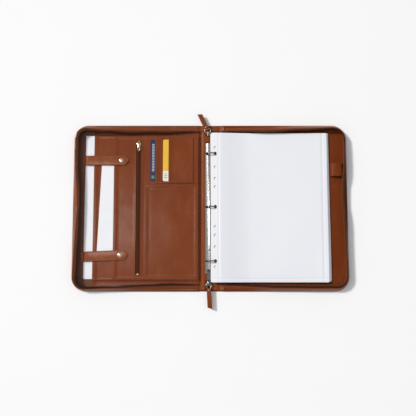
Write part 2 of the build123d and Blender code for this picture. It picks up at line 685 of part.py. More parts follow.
# ---------------------------------------------------------------- the whole case
def all_parts():
    parts = {}
    for name, shape in cover_parts().items():
        parts["back_" + name] = shape
        parts["front_" + name] = mirror(shape, about=Plane.YZ)
    parts.update(spine_parts())
    rings = half_rings()
    parts["ring_plate"] = ring_plate()
    parts["right_rings"] = rings
    parts["left_rings"] = [mirror(ring, about=Plane.YZ) for ring in rings]
    parts["right_blade"] = blade()
    parts["left_blade"] = mirror(blade(), about=Plane.YZ)
    parts["plate_rivets"] = plate_rivets()
    parts["release_lever"] = release_lever()
    parts["lever_pin"] = cross_bar(PIN_Y, PIN_Z, PIN_R, PIN_HALF_LENGTH)
    parts.update(page_parts())
    parts["pen_loop"] = pen_loop()
    parts.update(pocket_parts())
    parts.update(pocket_zip_parts())
    parts.update(strap_parts())
    parts.update(main_zip_parts())
    return parts


os.makedirs("parts", exist_ok=True)
for node, shape in all_parts().items():
    if isinstance(shape, list):
        shape = Compound(children=shape)
    export_step(shape, "parts/" + node + ".step")
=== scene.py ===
import json
import math

import bmesh
import bpy
import numpy as np
from mathutils import Matrix, Vector


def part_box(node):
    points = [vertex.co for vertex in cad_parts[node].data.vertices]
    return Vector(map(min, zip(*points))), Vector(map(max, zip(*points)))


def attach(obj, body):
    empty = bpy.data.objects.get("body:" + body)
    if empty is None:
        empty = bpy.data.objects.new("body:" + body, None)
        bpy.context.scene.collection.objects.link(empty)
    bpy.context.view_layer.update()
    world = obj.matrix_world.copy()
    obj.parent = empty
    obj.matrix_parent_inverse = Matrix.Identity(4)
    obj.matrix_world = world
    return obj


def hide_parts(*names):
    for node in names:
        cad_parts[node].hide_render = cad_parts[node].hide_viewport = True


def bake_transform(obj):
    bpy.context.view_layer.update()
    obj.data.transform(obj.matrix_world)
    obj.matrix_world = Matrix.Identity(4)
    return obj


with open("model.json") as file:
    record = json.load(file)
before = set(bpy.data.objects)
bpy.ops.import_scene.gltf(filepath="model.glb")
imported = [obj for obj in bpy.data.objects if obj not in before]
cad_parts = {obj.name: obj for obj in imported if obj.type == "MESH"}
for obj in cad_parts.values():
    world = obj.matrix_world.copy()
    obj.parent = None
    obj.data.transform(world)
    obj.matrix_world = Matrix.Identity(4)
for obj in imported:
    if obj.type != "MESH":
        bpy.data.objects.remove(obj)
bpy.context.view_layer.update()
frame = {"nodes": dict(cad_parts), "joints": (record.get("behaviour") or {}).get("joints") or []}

# Lengths in this script are millimetres until add_mesh turns them into metres.
MM = 0.001


# ================================================================ sizes from the frame
def low(node):
    return np.array(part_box(node)[0]) / MM


def high(node):
    return np.array(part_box(node)[1]) / MM


def span(node):
    """A node's left, right, foot and head."""
    return low(node)[0], high(node)[0], low(node)[1], high(node)[1]


def joint_point(name):
    joint = next(j for j in frame["joints"] if j["name"] == name)
    return np.array(joint["pos_m"]) / MM


HALF_W, HALF_H, HIDE_TOP = high("back_cover_leather")
CORNER_R = 29.0
FOLD_X = joint_point("spine_fold")[0]
LINING_TOP = high("back_cover_lining")[2]
LINING_INSET = HALF_W - high("back_cover_lining")[0]
WALL_FOOT_X = low("back_zip_wall")[0]
ZIP_TOP = high("back_zip_tape")[2]


# ================================================================ materials
MIX_BASE, MIX_ADDED, MIX_RESULT = 6, 7, 2  # the colour sockets of a Mix node


def rgba(colour):
    return (*colour, 1.0)


class Shader:
    """A small builder for one procedural material."""

    def __init__(self, name, colour, roughness, specular=0.5, metallic=0.0):
        self.material = bpy.data.materials.new(name)
        self.material.use_nodes = True
        self.tree = self.material.node_tree
        self.surface = self.tree.nodes["Principled BSDF"].inputs
        self.surface["Base Color"].default_value = rgba(colour)
        self.surface["Roughness"].default_value = roughness
        self.surface["Specular IOR Level"].default_value = specular
        self.surface["Metallic"].default_value = metallic
        self.colour = None
        self.normal = None
        self.coords = self.add("ShaderNodeTexCoord").outputs["Object"]

    def add(self, kind, **settings):
        node = self.tree.nodes.new(kind)
        for key, value in settings.items():
            setattr(node, key, value)
        return node

    def feed(self, socket, value):
        """Sets a socket to a number, or links an output to it."""
        if isinstance(value, (int, float)):
            socket.default_value = value
        else:
            self.tree.links.new(value, socket)

    def texture(self, kind, output, inputs, stretch=(1, 1, 1), **settings):
        """A texture over the object's coordinates in metres, stretched along the axes."""
        mapping = self.add("ShaderNodeMapping")
        mapping.inputs["Scale"].default_value = stretch
        self.feed(mapping.inputs["Vector"], self.coords)
        node = self.add(kind, **settings)
        self.feed(node.inputs["Vector"], mapping.outputs["Vector"])
        for key, value in inputs.items():
            node.inputs[key].default_value = value
        return node.outputs[output]

    def noise(self, scale, detail=4.0, stretch=(1, 1, 1)):
        inputs = {"Scale": scale, "Detail": detail, "Roughness": 0.55}
        return self.texture("ShaderNodeTexNoise", "Fac", inputs, stretch)

    def cells(self, scale):
        return self.texture("ShaderNodeTexVoronoi", "Distance", {"Scale": scale})

    def ridges(self, scale, direction):
        return self.texture("ShaderNodeTexWave", "Fac", {"Scale": scale}, bands_direction=direction)

    def spread(self, value, from_low, from_high, to_low=0.0, to_high=1.0):
        node = self.add("ShaderNodeMapRange")
        for socket, given in zip(node.inputs, (value, from_low, from_high, to_low, to_high)):
            self.feed(socket, given)
        return node.outputs["Result"]

    def maths(self, operation, first, second):
        node = self.add("ShaderNodeMath", operation=operation)
        for socket, value in zip(node.inputs, (first, second)):
            self.feed(socket, value)
        return node.outputs["Value"]

    def both(self, *values):
        """The product of several masks."""
        result = values[0]
        for value in values[1:]:
            result = self.maths("MULTIPLY", result, value)
        return result

    def mix(self, factor, colour):
        """Mixes colour into the base colour by factor."""
        node = self.add("ShaderNodeMix", data_type="RGBA")
        self.feed(node.inputs["Factor"], factor)
        if self.colour is None:
            node.inputs[MIX_BASE].default_value = self.surface["Base Color"].default_value
        else:
            self.feed(node.inputs[MIX_BASE], self.colour)
        node.inputs[MIX_ADDED].default_value = rgba(colour)
        self.colour = node.outputs[MIX_RESULT]
        self.feed(self.surface["Base Color"], self.colour)

    def cloud(self, scale, colour, amount=1.0, start=0.4, end=0.7, detail=4.0, stretch=(1, 1, 1)):
        """Mixes a colour in where a noise is high."""
        self.mix(self.spread(self.noise(scale, detail, stretch), start, end, 0.0, amount), colour)

    def bump(self, height, distance, strength=1.0):
        """Adds a bump of the given depth in millimetres."""
        node = self.add("ShaderNodeBump")
        node.inputs["Distance"].default_value = distance * MM
        node.inputs["Strength"].default_value = strength
        self.feed(node.inputs["Height"], height)
        if self.normal is not None:
            self.feed(node.inputs["Normal"], self.normal)
        self.normal = node.outputs["Normal"]
        self.feed(self.surface["Normal"], self.normal)

    def rough(self, value, smoothest, roughest):
        """Lets the roughness follow a noise."""
        self.feed(self.surface["Roughness"], self.spread(value, 0.3, 0.7, smoothest, roughest))

    def axis(self, name):
        node = self.add("ShaderNodeSeparateXYZ")
        self.feed(node.inputs["Vector"], self.coords)
        return node.outputs[name]

    def between(self, value, start, end):
        """1 where value, in metres, lies between start and end, given in millimetres."""
        above = self.maths("GREATER_THAN", value, start * MM)
        below = self.maths("LESS_THAN", value, end * MM)
        return self.both(above, below)

    def bars(self, value, pitch, width):
        """Bars across an axis, repeated up and down it."""
        return self.between(self.maths("PINGPONG", value, pitch * MM), 0.0, width)


def leather(name, colour, dark, light, specular, rough=(0.40, 0.56)):
    """Vegetable-tanned hide: fine pebbled grain, soft clouding, lighter worn edges."""
    s = Shader(name, colour, 0.48, specular)
    s.cloud(16.0, dark, 0.55, 0.42, 0.66, 5.0)
    s.cloud(60.0, light, 0.35, 0.5, 0.72, stretch=(1.0, 0.35, 1.0))
    pores = s.spread(s.cells(1150.0), 0.0, 0.32, 0.45, 0.0)
    s.mix(pores, dark)
    edges = s.add("ShaderNodeNewGeometry").outputs["Pointiness"]
    s.mix(s.spread(edges, 0.515, 0.60, 0.0, 0.55), light)
    s.rough(s.noise(180.0, 3.0), *rough)
    s.bump(s.noise(30.0, 2.0), 0.35, 0.5)
    s.bump(s.cells(900.0), 0.05, 0.6)
    s.bump(s.noise(2600.0, 3.0), 0.012, 0.6)
    return s.material


def woven(name, colour, light):
    """Tightly woven zip tape."""
    s = Shader(name, colour, 0.85, 0.1)
    weave = s.both(s.ridges(900.0, "X"), s.ridges(900.0, "Y"))
    s.mix(s.spread(weave, 0.2, 0.9, 0.0, 0.5), light)
    s.cloud(120.0, colour, 0.4)
    s.bump(weave, 0.12)
    return s.material


def thread(name, colour, dark):
    """Twisted waxed thread."""
    s = Shader(name, colour, 0.6)
    twist = s.noise(1600.0, 2.0, (1.0, 1.0, 0.4))
    s.mix(s.spread(twist, 0.4, 0.6), dark)
    s.bump(twist, 0.08)
    return s.material


def metal(name, colour, roughness, tint, brushed=(1, 1, 1)):
    """Plated metal with hairline scratches and a faint haze."""
    s = Shader(name, colour, roughness, metallic=1.0)
    s.cloud(60.0, tint, 0.3)
    scratches = s.noise(900.0, 3.0, brushed)
    s.rough(scratches, roughness * 0.92, roughness * 1.12)
    s.bump(scratches, 0.0003, 0.5)
    return s.material


def film(name):
    """Milky embossed polypropylene, clearer and greyer along the punched strip than over its sheet."""
    s = Shader(name, (0.845, 0.855, 0.90), 0.28)
    x = s.axis("X")
    s.mix(s.spread(x, 17.0 * MM, 60.0 * MM, 0.55, 0.0), (0.77, 0.79, 0.845))
    s.mix(s.both(s.between(x, -5.0, 16.4), 0.9), (0.90, 0.90, 0.93))
    s.cloud(7.0, (0.81, 0.825, 0.875), 0.35, detail=2.0, stretch=(2.5, 0.6, 1))
    s.bump(s.noise(10.0, 1.0, (2.0, 0.7, 1)), 0.6, 0.25)
    s.bump(s.noise(1800.0, 2.0), 0.01, 0.4)
    return s.material


def paper(name, colour, shade):
    s = Shader(name, colour, 0.75)
    s.cloud(45.0, shade, 0.6)
    s.bump(s.noise(1500.0, 3.0), 0.03, 0.6)
    return s.material


def grainy(name, colour, shade, roughness, specular, clouds, amount, grain, depth):
    """A plain stuff: clouds of a second shade and a grain of the given size and depth."""
    s = Shader(name, colour, roughness, specular)
    s.cloud(clouds, shade, amount)
    s.bump(s.noise(grain), depth)
    return s.material


def nylon(name, colour, light):
    return grainy(name, colour, light, 0.5, 0.15, 400.0, 0.6, 1200.0, 0.05)


def printed_card(name, node, colour, marks, worn, worn_amount):
    """A plastic card with printed marks: an ink, its spans from the card's left and foot, its bars."""
    s = Shader(name, colour, 0.28)
    left, _, foot, _ = span(node)
    for ink, (x_start, x_end), (y_start, y_end), bars in marks:
        x, y = s.axis("X"), s.axis("Y")
        across = s.between(x, left + x_start, left + x_end)
        area = s.both(across, s.between(y, foot + y_start, foot + y_end))
        s.mix(s.both(area, s.bars(y, *bars)) if bars else area, ink)
    s.cloud(90.0, worn, worn_amount, 0.45)
    s.bump(s.noise(700.0), 0.01)
    return s.material


CARD_LONG = high("navy_card")[1] - low("navy_card")[1]
CARD_WIDE = high("navy_card")[0] - low("navy_card")[0]
NAVY_MARKS = (
    ((0.55, 0.60, 0.70), (3.4, 8.2), (20, CARD_LONG - 8), (1.6, 0.75)),
    ((0.10, 0.32, 0.16), (2.5, 8.0), (6, 12), None),
)
YELLOW_MARKS = (
    ((0.80, 0.80, 0.78), (-1, CARD_WIDE + 1), (-1, 21), None),
    ((0.25, 0.25, 0.26), (3, 8.5), (5, 17), (2.3, 0.9)),
)

# Hides: base colour, darker clouds, lighter edges, then how strongly and how sharply they reflect.
GLOSSY = (0.17, 0.25)
TAN = leather("tan_hide", (0.196, 0.043, 0.0100), (0.158, 0.031, 0.006), (0.26, 0.076, 0.024),
              0.26, GLOSSY)
DEEP_TAN = leather("deep_tan_hide", (0.160, 0.032, 0.0055), (0.128, 0.024, 0.003), (0.22, 0.060, 0.016),
                   0.10)
SUEDE = leather("grey_brown_lining", (0.180, 0.082, 0.056), (0.12, 0.05, 0.034), (0.27, 0.15, 0.11),
                0.1, (0.6, 0.8))
SPINE_TAN = leather("spine_hide", (0.215, 0.053, 0.014), (0.175, 0.039, 0.009), (0.28, 0.09, 0.035),
                    0.12, (0.26, 0.36))
STRAP = leather("strap_hide", (0.230, 0.056, 0.014), (0.175, 0.038, 0.008), (0.32, 0.10, 0.036),
                0.3, GLOSSY)
TAPE = woven("zip_tape_weave", (0.090, 0.027, 0.010), (0.125, 0.040, 0.016))
POCKET_TAPE = woven("pocket_zip_tape", (0.085, 0.024, 0.009), (0.12, 0.040, 0.018))
COIL = nylon("zip_coil_nylon", (0.030, 0.012, 0.007), (0.050, 0.021, 0.012))
POCKET_COIL = nylon("pocket_coil_nylon", (0.11, 0.034, 0.014), (0.16, 0.055, 0.025))
THREAD = thread("brown_thread", (0.22, 0.070, 0.027), (0.12, 0.035, 0.013))
NICKEL = metal("polished_nickel", (0.44, 0.43, 0.405), 0.17, (0.38, 0.375, 0.36))
WORN = metal("worn_nickel", (0.34, 0.32, 0.285), 0.30, (0.25, 0.24, 0.22))
SMOKED = metal("smoked_nickel", (0.22, 0.22, 0.23), 0.30, (0.12, 0.12, 0.13), (1, 6, 1))
BRASS = metal("pale_brass", (0.86, 0.74, 0.46), 0.20, (0.66, 0.52, 0.28))
PAPER = paper("loose_paper", (0.86, 0.865, 0.90), (0.82, 0.83, 0.87))
FILM = film("milky_film")
BOARD = grainy("fibre_board", (0.15, 0.065, 0.030), (0.10, 0.042, 0.018), 0.9, 0.5,
               500.0, 1.0, 800.0, 0.1)
NAVY = printed_card("navy_print", "navy_card", (0.012, 0.018, 0.065), NAVY_MARKS,
                    (0.03, 0.04, 0.12), 0.4)
YELLOW = printed_card("yellow_print", "yellow_card", (0.80, 0.47, 0.035), YELLOW_MARKS,
                      (0.86, 0.60, 0.10), 0.3)


# ================================================================ mesh tools
SHARP_ANGLE = 42.0
STITCH_PITCH = 3.2
EDGE_STATIONS = (0.25, 0.6, 1.1, 1.8, 2.8)  # finer rows near a sheet's edges


def add_mesh(name, points, faces, material, sharp=SHARP_ANGLE):
    """A closed mesh from points in millimetres."""
    mesh = bpy.data.meshes.new(name)
    mesh.from_pydata((np.asarray(points, float) * MM).tolist(), [], faces)
    shape = bmesh.new()
    shape.from_mesh(mesh)
    bmesh.ops.recalc_face_normals(shape, faces=shape.faces)
    shape.to_mesh(mesh)
    shape.free()
    mesh.polygons.foreach_set("use_smooth", [True] * len(mesh.polygons))
    mesh.set_sharp_from_angle(angle=math.radians(sharp))
    mesh.materials.append(material)
    piece = bpy.data.objects.new(name, mesh)
    bpy.context.scene.collection.objects.link(piece)
    return piece


def carry(body, *things):
    for thing in things:
        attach(thing, body)


def smooth(value, start, end):
    """0 before start, 1 after end, easing in between."""
    t = np.clip((value - start) / (end - start), 0, 1)
    return t * t * (3 - 2 * t)


def ripple(x, y, seed, size=60.0):
    """A gentle, repeatable unevenness between about -1 and 1."""
    rng = np.random.default_rng(seed)
    total = 0
    for _ in range(5):
        angle, phase = rng.uniform(0, math.tau, 2)
        wave = size * rng.uniform(0.6, 1.6)
        total = total + np.sin((x * math.cos(angle) + y * math.sin(angle)) * math.tau / wave + phase)
    return total / 3.2


def spaced(start, end, step, extra=()):
    """Even stations from start to end, with finer ones at both ends and at the extra places."""
    ends = [start, end]
    for edge in EDGE_STATIONS:
        ends += [start + edge, end - edge]
    fixed = sorted({round(place, 4) for place in [*ends, *extra] if start <= place <= end})
    even = np.linspace(start, end, max(2, int((end - start) / step)) + 1)
    loose = [place for place in even if min(abs(place - f) for f in fixed) > step * 0.3]
    return np.array(sorted(fixed + loose))


def around(places, offsets):
    """Stations at offsets from each of several places."""
    return [place + offset for place in places for offset in offsets]


def depth_inside(x, y, box, radii=(0, 0)):
    """Distance inwards from the edge of a rectangle whose left and right corners are rounded."""
    left, right, foot, head = box
    depth = np.minimum(np.minimum(x - left, right - x), np.minimum(y - foot, head - y))
    for radius, centre_x, side in ((radii[0], left + radii[0], -1), (radii[1], right - radii[1], 1)):
        if radius:
            for centre_y, up in ((foot + radius, -1), (head - radius, 1)):
                corner = ((x - centre_x) * side > 0) & ((y - centre_y) * up > 0)
                depth = np.where(corner, radius - np.hypot(x - centre_x, y - centre_y), depth)
    return depth


def round_off(x, y, box, radii):
    """Draws grid points in towards the middle, so that the rectangle's corners become round."""
    left, right, foot, head = box
    for radius, edge, side in ((radii[0], left, -1), (radii[1], right, 1)):
        if radius:
            over = np.clip(np.maximum(y - (head - radius), (foot + radius) - y), 0, radius)
            shortfall = radius - np.sqrt(radius**2 - over**2)
            share = np.clip(1 - np.abs(x - edge) / (2.4 * radius), 0, 1)
            x = x - side * shortfall * share
    return x


def grid_faces(present, index, offset):
    """Top, bottom and rim faces of a slab made of the cells marked present."""
    faces = []
    rows, columns = present.shape
    padded = np.zeros((rows + 2, columns + 2), bool)
    padded[1:-1, 1:-1] = present
    for i, j in zip(*np.nonzero(present)):
        a, b = int(index[i, j]), int(index[i + 1, j])
        c, d = int(index[i + 1, j + 1]), int(index[i, j + 1])
        faces.append((a, b, c, d))
        faces.append((d + offset, c + offset, b + offset, a + offset))
        sides = (
            (padded[i, j + 1], d, a),
            (padded[i + 2, j + 1], b, c),
            (padded[i + 1, j], a, b),
            (padded[i + 1, j + 2], c, d),
        )
        for joined, first, second in sides:
            if not joined:
                faces.append((second, first, first + offset, second + offset))
    return faces


def slab(name, xs, ys, top, bottom, material, slot, warp=None, shift=None, holes=(), windows=()):
    """A sheet with thickness: top and bottom give its heights over the grid xs by ys."""
    x, y = np.meshgrid(xs, ys, indexing="ij")
    middle_x = (x[:-1, :-1] + x[1:, 1:]) / 2
    middle_y = (y[:-1, :-1] + y[1:, 1:]) / 2
    present = np.ones(middle_x.shape, bool)
    for left, right, foot, head in windows:
        present &= ~((middle_x > left) & (middle_x < right) & (middle_y > foot) & (middle_y < head))
    moved_x, moved_y = x.copy(), y.copy()
    for hole_x, hole_y, radius in holes:
        dx, dy = x - hole_x, y - hole_y
        rim = np.abs(np.maximum(np.abs(dx), np.abs(dy)) - radius) < 1e-3
        present &= np.maximum(np.abs(middle_x - hole_x), np.abs(middle_y - hole_y)) > radius
        length = np.hypot(dx, dy)
        moved_x[rim] = hole_x + dx[rim] * radius / length[rim]
        moved_y[rim] = hole_y + dy[rim] * radius / length[rim]
    if warp is not None:
        moved_x, moved_y = warp(moved_x, moved_y)
    upper, lower = top(moved_x, moved_y), bottom(moved_x, moved_y)
    if shift is not None:
        moved_x = shift(moved_x, moved_y)
    used = np.zeros(x.shape, bool)
    for rows in (slice(None, -1), slice(1, None)):
        for columns in (slice(None, -1), slice(1, None)):
            used[rows, columns] |= present
    index = np.full(x.shape, -1)
    index[used] = np.arange(used.sum())
    points = [np.stack([moved_x[used], moved_y[used], z[used]], axis=1) for z in (upper, lower)]
    faces = grid_faces(present, index, int(used.sum()))
    return add_mesh(name, np.concatenate(points), faces, material)


def level(height):
    """A surface at one height."""
    return lambda x, y: np.full(np.shape(x), height, float)


def sheet(name, box, z, thickness, material, slot, lift=level(0), radii=(0, 0), hem=0.0, hem_width=7.0,
          rounding=None, step=6.0, stations=((), ()), **more):
    """A flexible sheet over a box, its underside at z; returns the piece and its top surface."""
    left, right, foot, head = box
    soft = rounding or thickness * 0.6
    fold = (hem_width - 1.0, hem_width - 0.4, hem_width)
    extra_x, extra_y = list(stations[0]), list(stations[1])
    if hem:
        extra_x += [p for f in fold for p in (left + f, right - f)]
        extra_y += [p for f in fold for p in (foot + f, head - f)]
    for radius in radii:
        for share in np.sin(np.radians(np.arange(0, 90, 9))) if radius > 8 else ():
            extra_y += [foot + radius * (1 - share), head - radius * (1 - share)]

    def edge(x, y):
        depth = np.clip(depth_inside(x, y, box, radii) / soft, 0, 1)
        return 0.3 + 0.7 * np.sqrt(1 - (1 - depth) ** 2)

    def top(x, y):
        turned = hem * (1 - smooth(depth_inside(x, y, box, radii), fold[0], fold[2]))
        return z + lift(x, y) + thickness * (0.5 + 0.5 * edge(x, y)) + turned * edge(x, y)

    def bottom(x, y):
        return z + lift(x, y) + thickness * (0.5 - 0.5 * edge(x, y))

    def warp(x, y):
        return round_off(x, y, box, radii), y

    xs, ys = spaced(left, right, step, extra_x), spaced(foot, head, step, extra_y)
    return slab(name, xs, ys, top, bottom, material, slot, warp=warp, **more), top


def loft(name, sections, material, ring=False):
    """A skin over closed sections, capped at both ends or joined into a ring."""
    sections = np.asarray(sections, float)
    count, sides = sections.shape[:2]
    faces = []
    for i in range(count if ring else count - 1):
        for j in range(sides):
            k, after = (j + 1) % sides, (i + 1) % count
            faces.append((i * sides + j, i * sides + k, after * sides + k, after * sides + j))
    if not ring:
        faces.append(tuple(range(sides)))
        faces.append(tuple(range((count - 1) * sides, count * sides)))
    return add_mesh(name, sections.reshape(-1, 3), faces, material)


def circle(radius, sides):
    angles = np.arange(sides) * math.tau / sides
    return np.stack([radius * np.cos(angles), radius * np.sin(angles)], axis=1)


def lathe(name, profile, centre, material):
    """Turns (radius, height) pairs about the vertical through centre."""
    sections = []
    for radius, height in profile:
        ring = circle(max(radius, 0.02), 32)
        sections.append([(centre[0] + x, centre[1] + y, centre[2] + height) for x, y in ring])
    return loft(name, sections, material)


def peg(name, radius, bottom, top, place, material):
    """A plain round post."""
    profile = [(0, bottom), (radius, bottom), (radius, top), (0, top)]
    return lathe(name, profile, (*place, 0), material)


def directions(points, closed=False):
    if closed:
        steps = np.roll(points, -1, axis=0) - np.roll(points, 1, axis=0)
    else:
        steps = np.gradient(points, axis=0)
    return steps / np.linalg.norm(steps, axis=1, keepdims=True)


def tube(name, points, radius, material, closed=False, sides=12, up=(0, 0, 1), flatten=1.0):
    """A round cord or wire along points."""
    points = np.asarray(points, float)
    along = directions(points, closed)
    aside = np.cross(along, np.asarray(up, float))
    aside /= np.linalg.norm(aside, axis=1, keepdims=True)
    over = np.cross(aside, along) * flatten
    ring = circle(radius, sides)
    sections = points[:, None] + ring[None, :, :1] * aside[:, None] + ring[None, :, 1:] * over[:, None]
    return loft(name, sections, material, ring=closed)


def bean(length, width, height):
    """Sections of a small rounded bar lying along X, for stitches and zip teeth."""
    places = np.array([-1.0, -0.86, -0.5, 0.5, 0.86, 1.0]) * length / 2
    fullness = (0.35, 0.78, 1.0, 1.0, 0.78, 0.35)
    ring = circle(1.0, 8)
    return np.array([
        [(place, x * width / 2 * full, z * height / 2 * full) for x, z in ring]
        for place, full in zip(places, fullness)
    ])


def bean_faces(count, sides, copies):
    """Faces of many beans whose points follow one another."""
    single = [tuple(range(sides)), tuple(range((count - 1) * sides, count * sides))]
    for i in range(count - 1):
        for j in range(sides):
            k = (j + 1) % sides
            single.append((i * sides + j, i * sides + k, (i + 1) * sides + k, (i + 1) * sides + j))
    return [tuple(v + copy * count * sides for v in face) for copy in range(copies) for face in single]


def scatter(name, template, centres, along, material, up=(0, 0, 1)):
    """Copies of a bean at centres, each lying along its own direction, joined into one mesh."""
    along = np.broadcast_to(np.asarray(along, float), centres.shape)
    along = along / np.linalg.norm(along, axis=1, keepdims=True)
    aside = np.cross(up, along)
    aside /= np.linalg.norm(aside, axis=1, keepdims=True)
    over = np.cross(along, aside)
    count, sides = template.shape[:2]
    points = template.reshape(-1, 3)
    placed = (centres[:, None] + points[None, :, :1] * along[:, None]
              + points[None, :, 1:2] * aside[:, None] + points[None, :, 2:] * over[:, None])
    return add_mesh(name, placed.reshape(-1, 3), bean_faces(count, sides, len(centres)), material, 60)


def path_lengths(points):
    """How far along a polyline each of its points lies."""
    return np.concatenate([[0], np.cumsum(np.linalg.norm(np.diff(points, axis=0), axis=1))])


def resample(points, pitch):
    """Evenly spaced points along a polyline, with their directions."""
    points = np.asarray(points, float)
    lengths = path_lengths(points)
    count = max(2, int(lengths[-1] / pitch))
    places = (np.arange(count) + 0.5) * lengths[-1] / count
    spots = np.stack([np.interp(places, lengths, points[:, k]) for k in range(points.shape[1])], axis=1)
    return spots, directions(spots)


def seam(name, lines, height, pitch=STITCH_PITCH):
    """Rows of thread stitches along lines of (x, y), lying on the surface height(x, y)."""
    spots, along = [], []
    for line in lines:
        fine, _ = resample(line, 1.0)
        raised = np.column_stack([fine, height(fine[:, 0], fine[:, 1]) + 0.02])
        placed, direction = resample(raised, pitch)
        spots.append(placed)
        along.append(direction)
    template = bean(pitch * 0.72, 0.75, 0.5)
    return scatter(name, template, np.concatenate(spots), np.concatenate(along), THREAD)


def zigzag_coil(name, template, x, ys, sway, z, material):
    """The teeth of a closed coil running along Y, set to left and right in turn."""
    xs = x + np.where(np.arange(len(ys)) % 2 == 0, -sway, sway)
    centres = np.column_stack([xs, ys, np.full(len(ys), z)])
    return scatter(name, template, centres, (1.0, 0.0, 0.0), material)


def frame_lines(box, inset, sides="LRFH"):
    """Straight seam lines set in from the chosen sides of a box."""
    left, right, foot, head = box[0] + inset, box[1] - inset, box[2] + inset, box[3] - inset
    lines = {
        "L": [(left, foot), (left, head)],
        "R": [(right, foot), (right, head)],
        "F": [(left, foot), (right, foot)],
        "H": [(left, head), (right, head)],
    }
    return [lines[side] for side in sides]


def plate(name, outline, bottom, top, bevel, material, slot):
    """A flat part with bevelled edges from an outline of (x, y)."""
    outline = np.asarray(outline, float)
    along = directions(outline, closed=True)
    inward = np.stack([-along[:, 1], along[:, 0]], axis=1)
    levels = ((bottom, bevel), (bottom + bevel * 0.4, bevel * 0.3), (bottom + bevel, 0), (top - bevel, 0),
              (top - bevel * 0.4, bevel * 0.3), (top, bevel))
    sections = [np.column_stack([outline + inward * inset, np.full(len(outline), z)])
                for z, inset in levels]
    return loft(name, sections, material)


def turn(piece, degrees, about):
    """Turns a finished mesh about a vertical line through (x, y)."""
    centre = Vector((about[0] * MM, about[1] * MM, 0))
    spin = Matrix.Rotation(math.radians(degrees), 4, "Z")
    piece.data.transform(Matrix.Translation(centre) @ spin @ Matrix.Translation(-centre))
    return piece


# ================================================================ covers and spine
HIDE_GAP = 0.25  # how far the hem is raised off the table
JOINT_LAP = 0.3  # the two halves meet on the spine's middle with this much to spare
HEM_SEAM = 5.0
PAST_SPINE = 40.0
LINING_THICK = 0.6
LINING_GAP = 2.0  # from the hide's edge to the lining's
SPINE_BOARD_X = high("spine_board")[0]
COVER_BOARD_X = low("back_cover_board")[0]


def mirrored(box, side):
    """A box drawn for the back cover, moved to the front cover when side is -1."""
    left, right, foot, head = box
    return box if side > 0 else (-right, -left, foot, head)


def outer_radii(side, radius):
    """Rounds the two corners away from the spine."""
    return (0, radius) if side > 0 else (radius, 0)


def rim_depth(x, y, inset):
    """Distance inwards from a cover's outer edge, drawn in by inset; the spine isn't an edge."""
    box = (-PAST_SPINE, HALF_W - inset, inset - HALF_H, HALF_H - inset)
    return depth_inside(np.abs(x), y, box, (0, CORNER_R - inset))


def groove_stations(side, offsets):
    return [side * (SPINE_BOARD_X + offset) for offset in offsets], ()


def fold_groove(x):
    """1 in the hinge grooves, where the boards stop, and 0 elsewhere."""
    gap = np.abs(np.abs(x) - (SPINE_BOARD_X + COVER_BOARD_X) / 2)
    return 1 - smooth(gap, 1.2, 4.6)


def bend_at_fold(piece, side, body, reach):
    """Bakes a piece's placement into its mesh; the points either side of the fold are worked out but
    nothing uses them.
    """
    start, end = [(side * (FOLD_X + offset) * MM, 0, 0) for offset in (-reach, reach)]
    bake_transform(piece)
    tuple(start)
    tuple(end)


def cover_hide(side, body):
    """Half of the outer leather: one cover and its half of the spine, raised at its hem."""
    box = mirrored((-JOINT_LAP, HALF_W, -HALF_H, HALF_H), side)
    stations = groove_stations(side, (-2, 0, 1.5, 3, 4, 5, 6.5, 8, 10))

    def lift(x, y):
        return HIDE_GAP * (1 - smooth(rim_depth(x, y, 0), 7, 9))

    hide, _ = sheet(f"{body}_hide", box, 0.0, HIDE_TOP - HIDE_GAP, TAN, "leather", lift,
                    outer_radii(side, CORNER_R), stations=stations)
    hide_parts(f"{body}_leather")
    bend_at_fold(hide, side, body, 4)
    hem, _ = rim_path(side, HEM_SEAM, COVER_BOARD_X + 3)
    carry(body, seam(f"{body}_hem_stitches", [hem], level(0.22)))


def spine_gusset(side, body):
    """Half of the leather over the spine board, dipping into the hinge groove."""
    reach = HALF_H - LINING_INSET
    box = mirrored((-JOINT_LAP, COVER_BOARD_X + 0.4, -reach, reach), side)

    def lift(x, y):
        return -1.7 * fold_groove(x) + 0.05 * ripple(x, y, 3, 30) * fold_groove(x)

    piece, _ = sheet(f"{body}_gusset", box, LINING_TOP - LINING_THICK, LINING_THICK, SPINE_TAN, "lining",
                     lift, step=5.0, stations=groove_stations(side, range(-3, 8)))
    bend_at_fold(piece, side, body, 3)
    if side > 0:
        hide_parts("spine_lining", "spine_leather")


def cover_lining(side, body, material):
    """The lining of one cover, glued to its board and rolled up a little at the wall."""
    box = (COVER_BOARD_X + 0.6, HALF_W - LINING_GAP, -HALF_H + LINING_GAP, HALF_H - LINING_GAP)

    def lift(x, y):
        edge = rim_depth(x, y, LINING_GAP)
        cove = 1.6 * (1 - smooth(edge, 0.0, 4.5)) * smooth(np.abs(x), COVER_BOARD_X, WALL_FOOT_X + 6)
        return cove + 0.06 * ripple(x, y, 11, 45) * smooth(edge, 3, 12)

    piece, _ = sheet(f"{body}_lining_sheet", mirrored(box, side), LINING_TOP - LINING_THICK, LINING_THICK,
                     material, "lining", lift, outer_radii(side, CORNER_R - LINING_GAP))
    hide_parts(f"{body}_lining")
    carry(body, piece)


# ================================================================ zip walls
LEATHER_STRIP = 13.6
TAPE_STRIP = 8.0
WALL_THICK = 1.5
WALL_FOOT_Z = 1.3
TOOTH_PITCH = 1.7
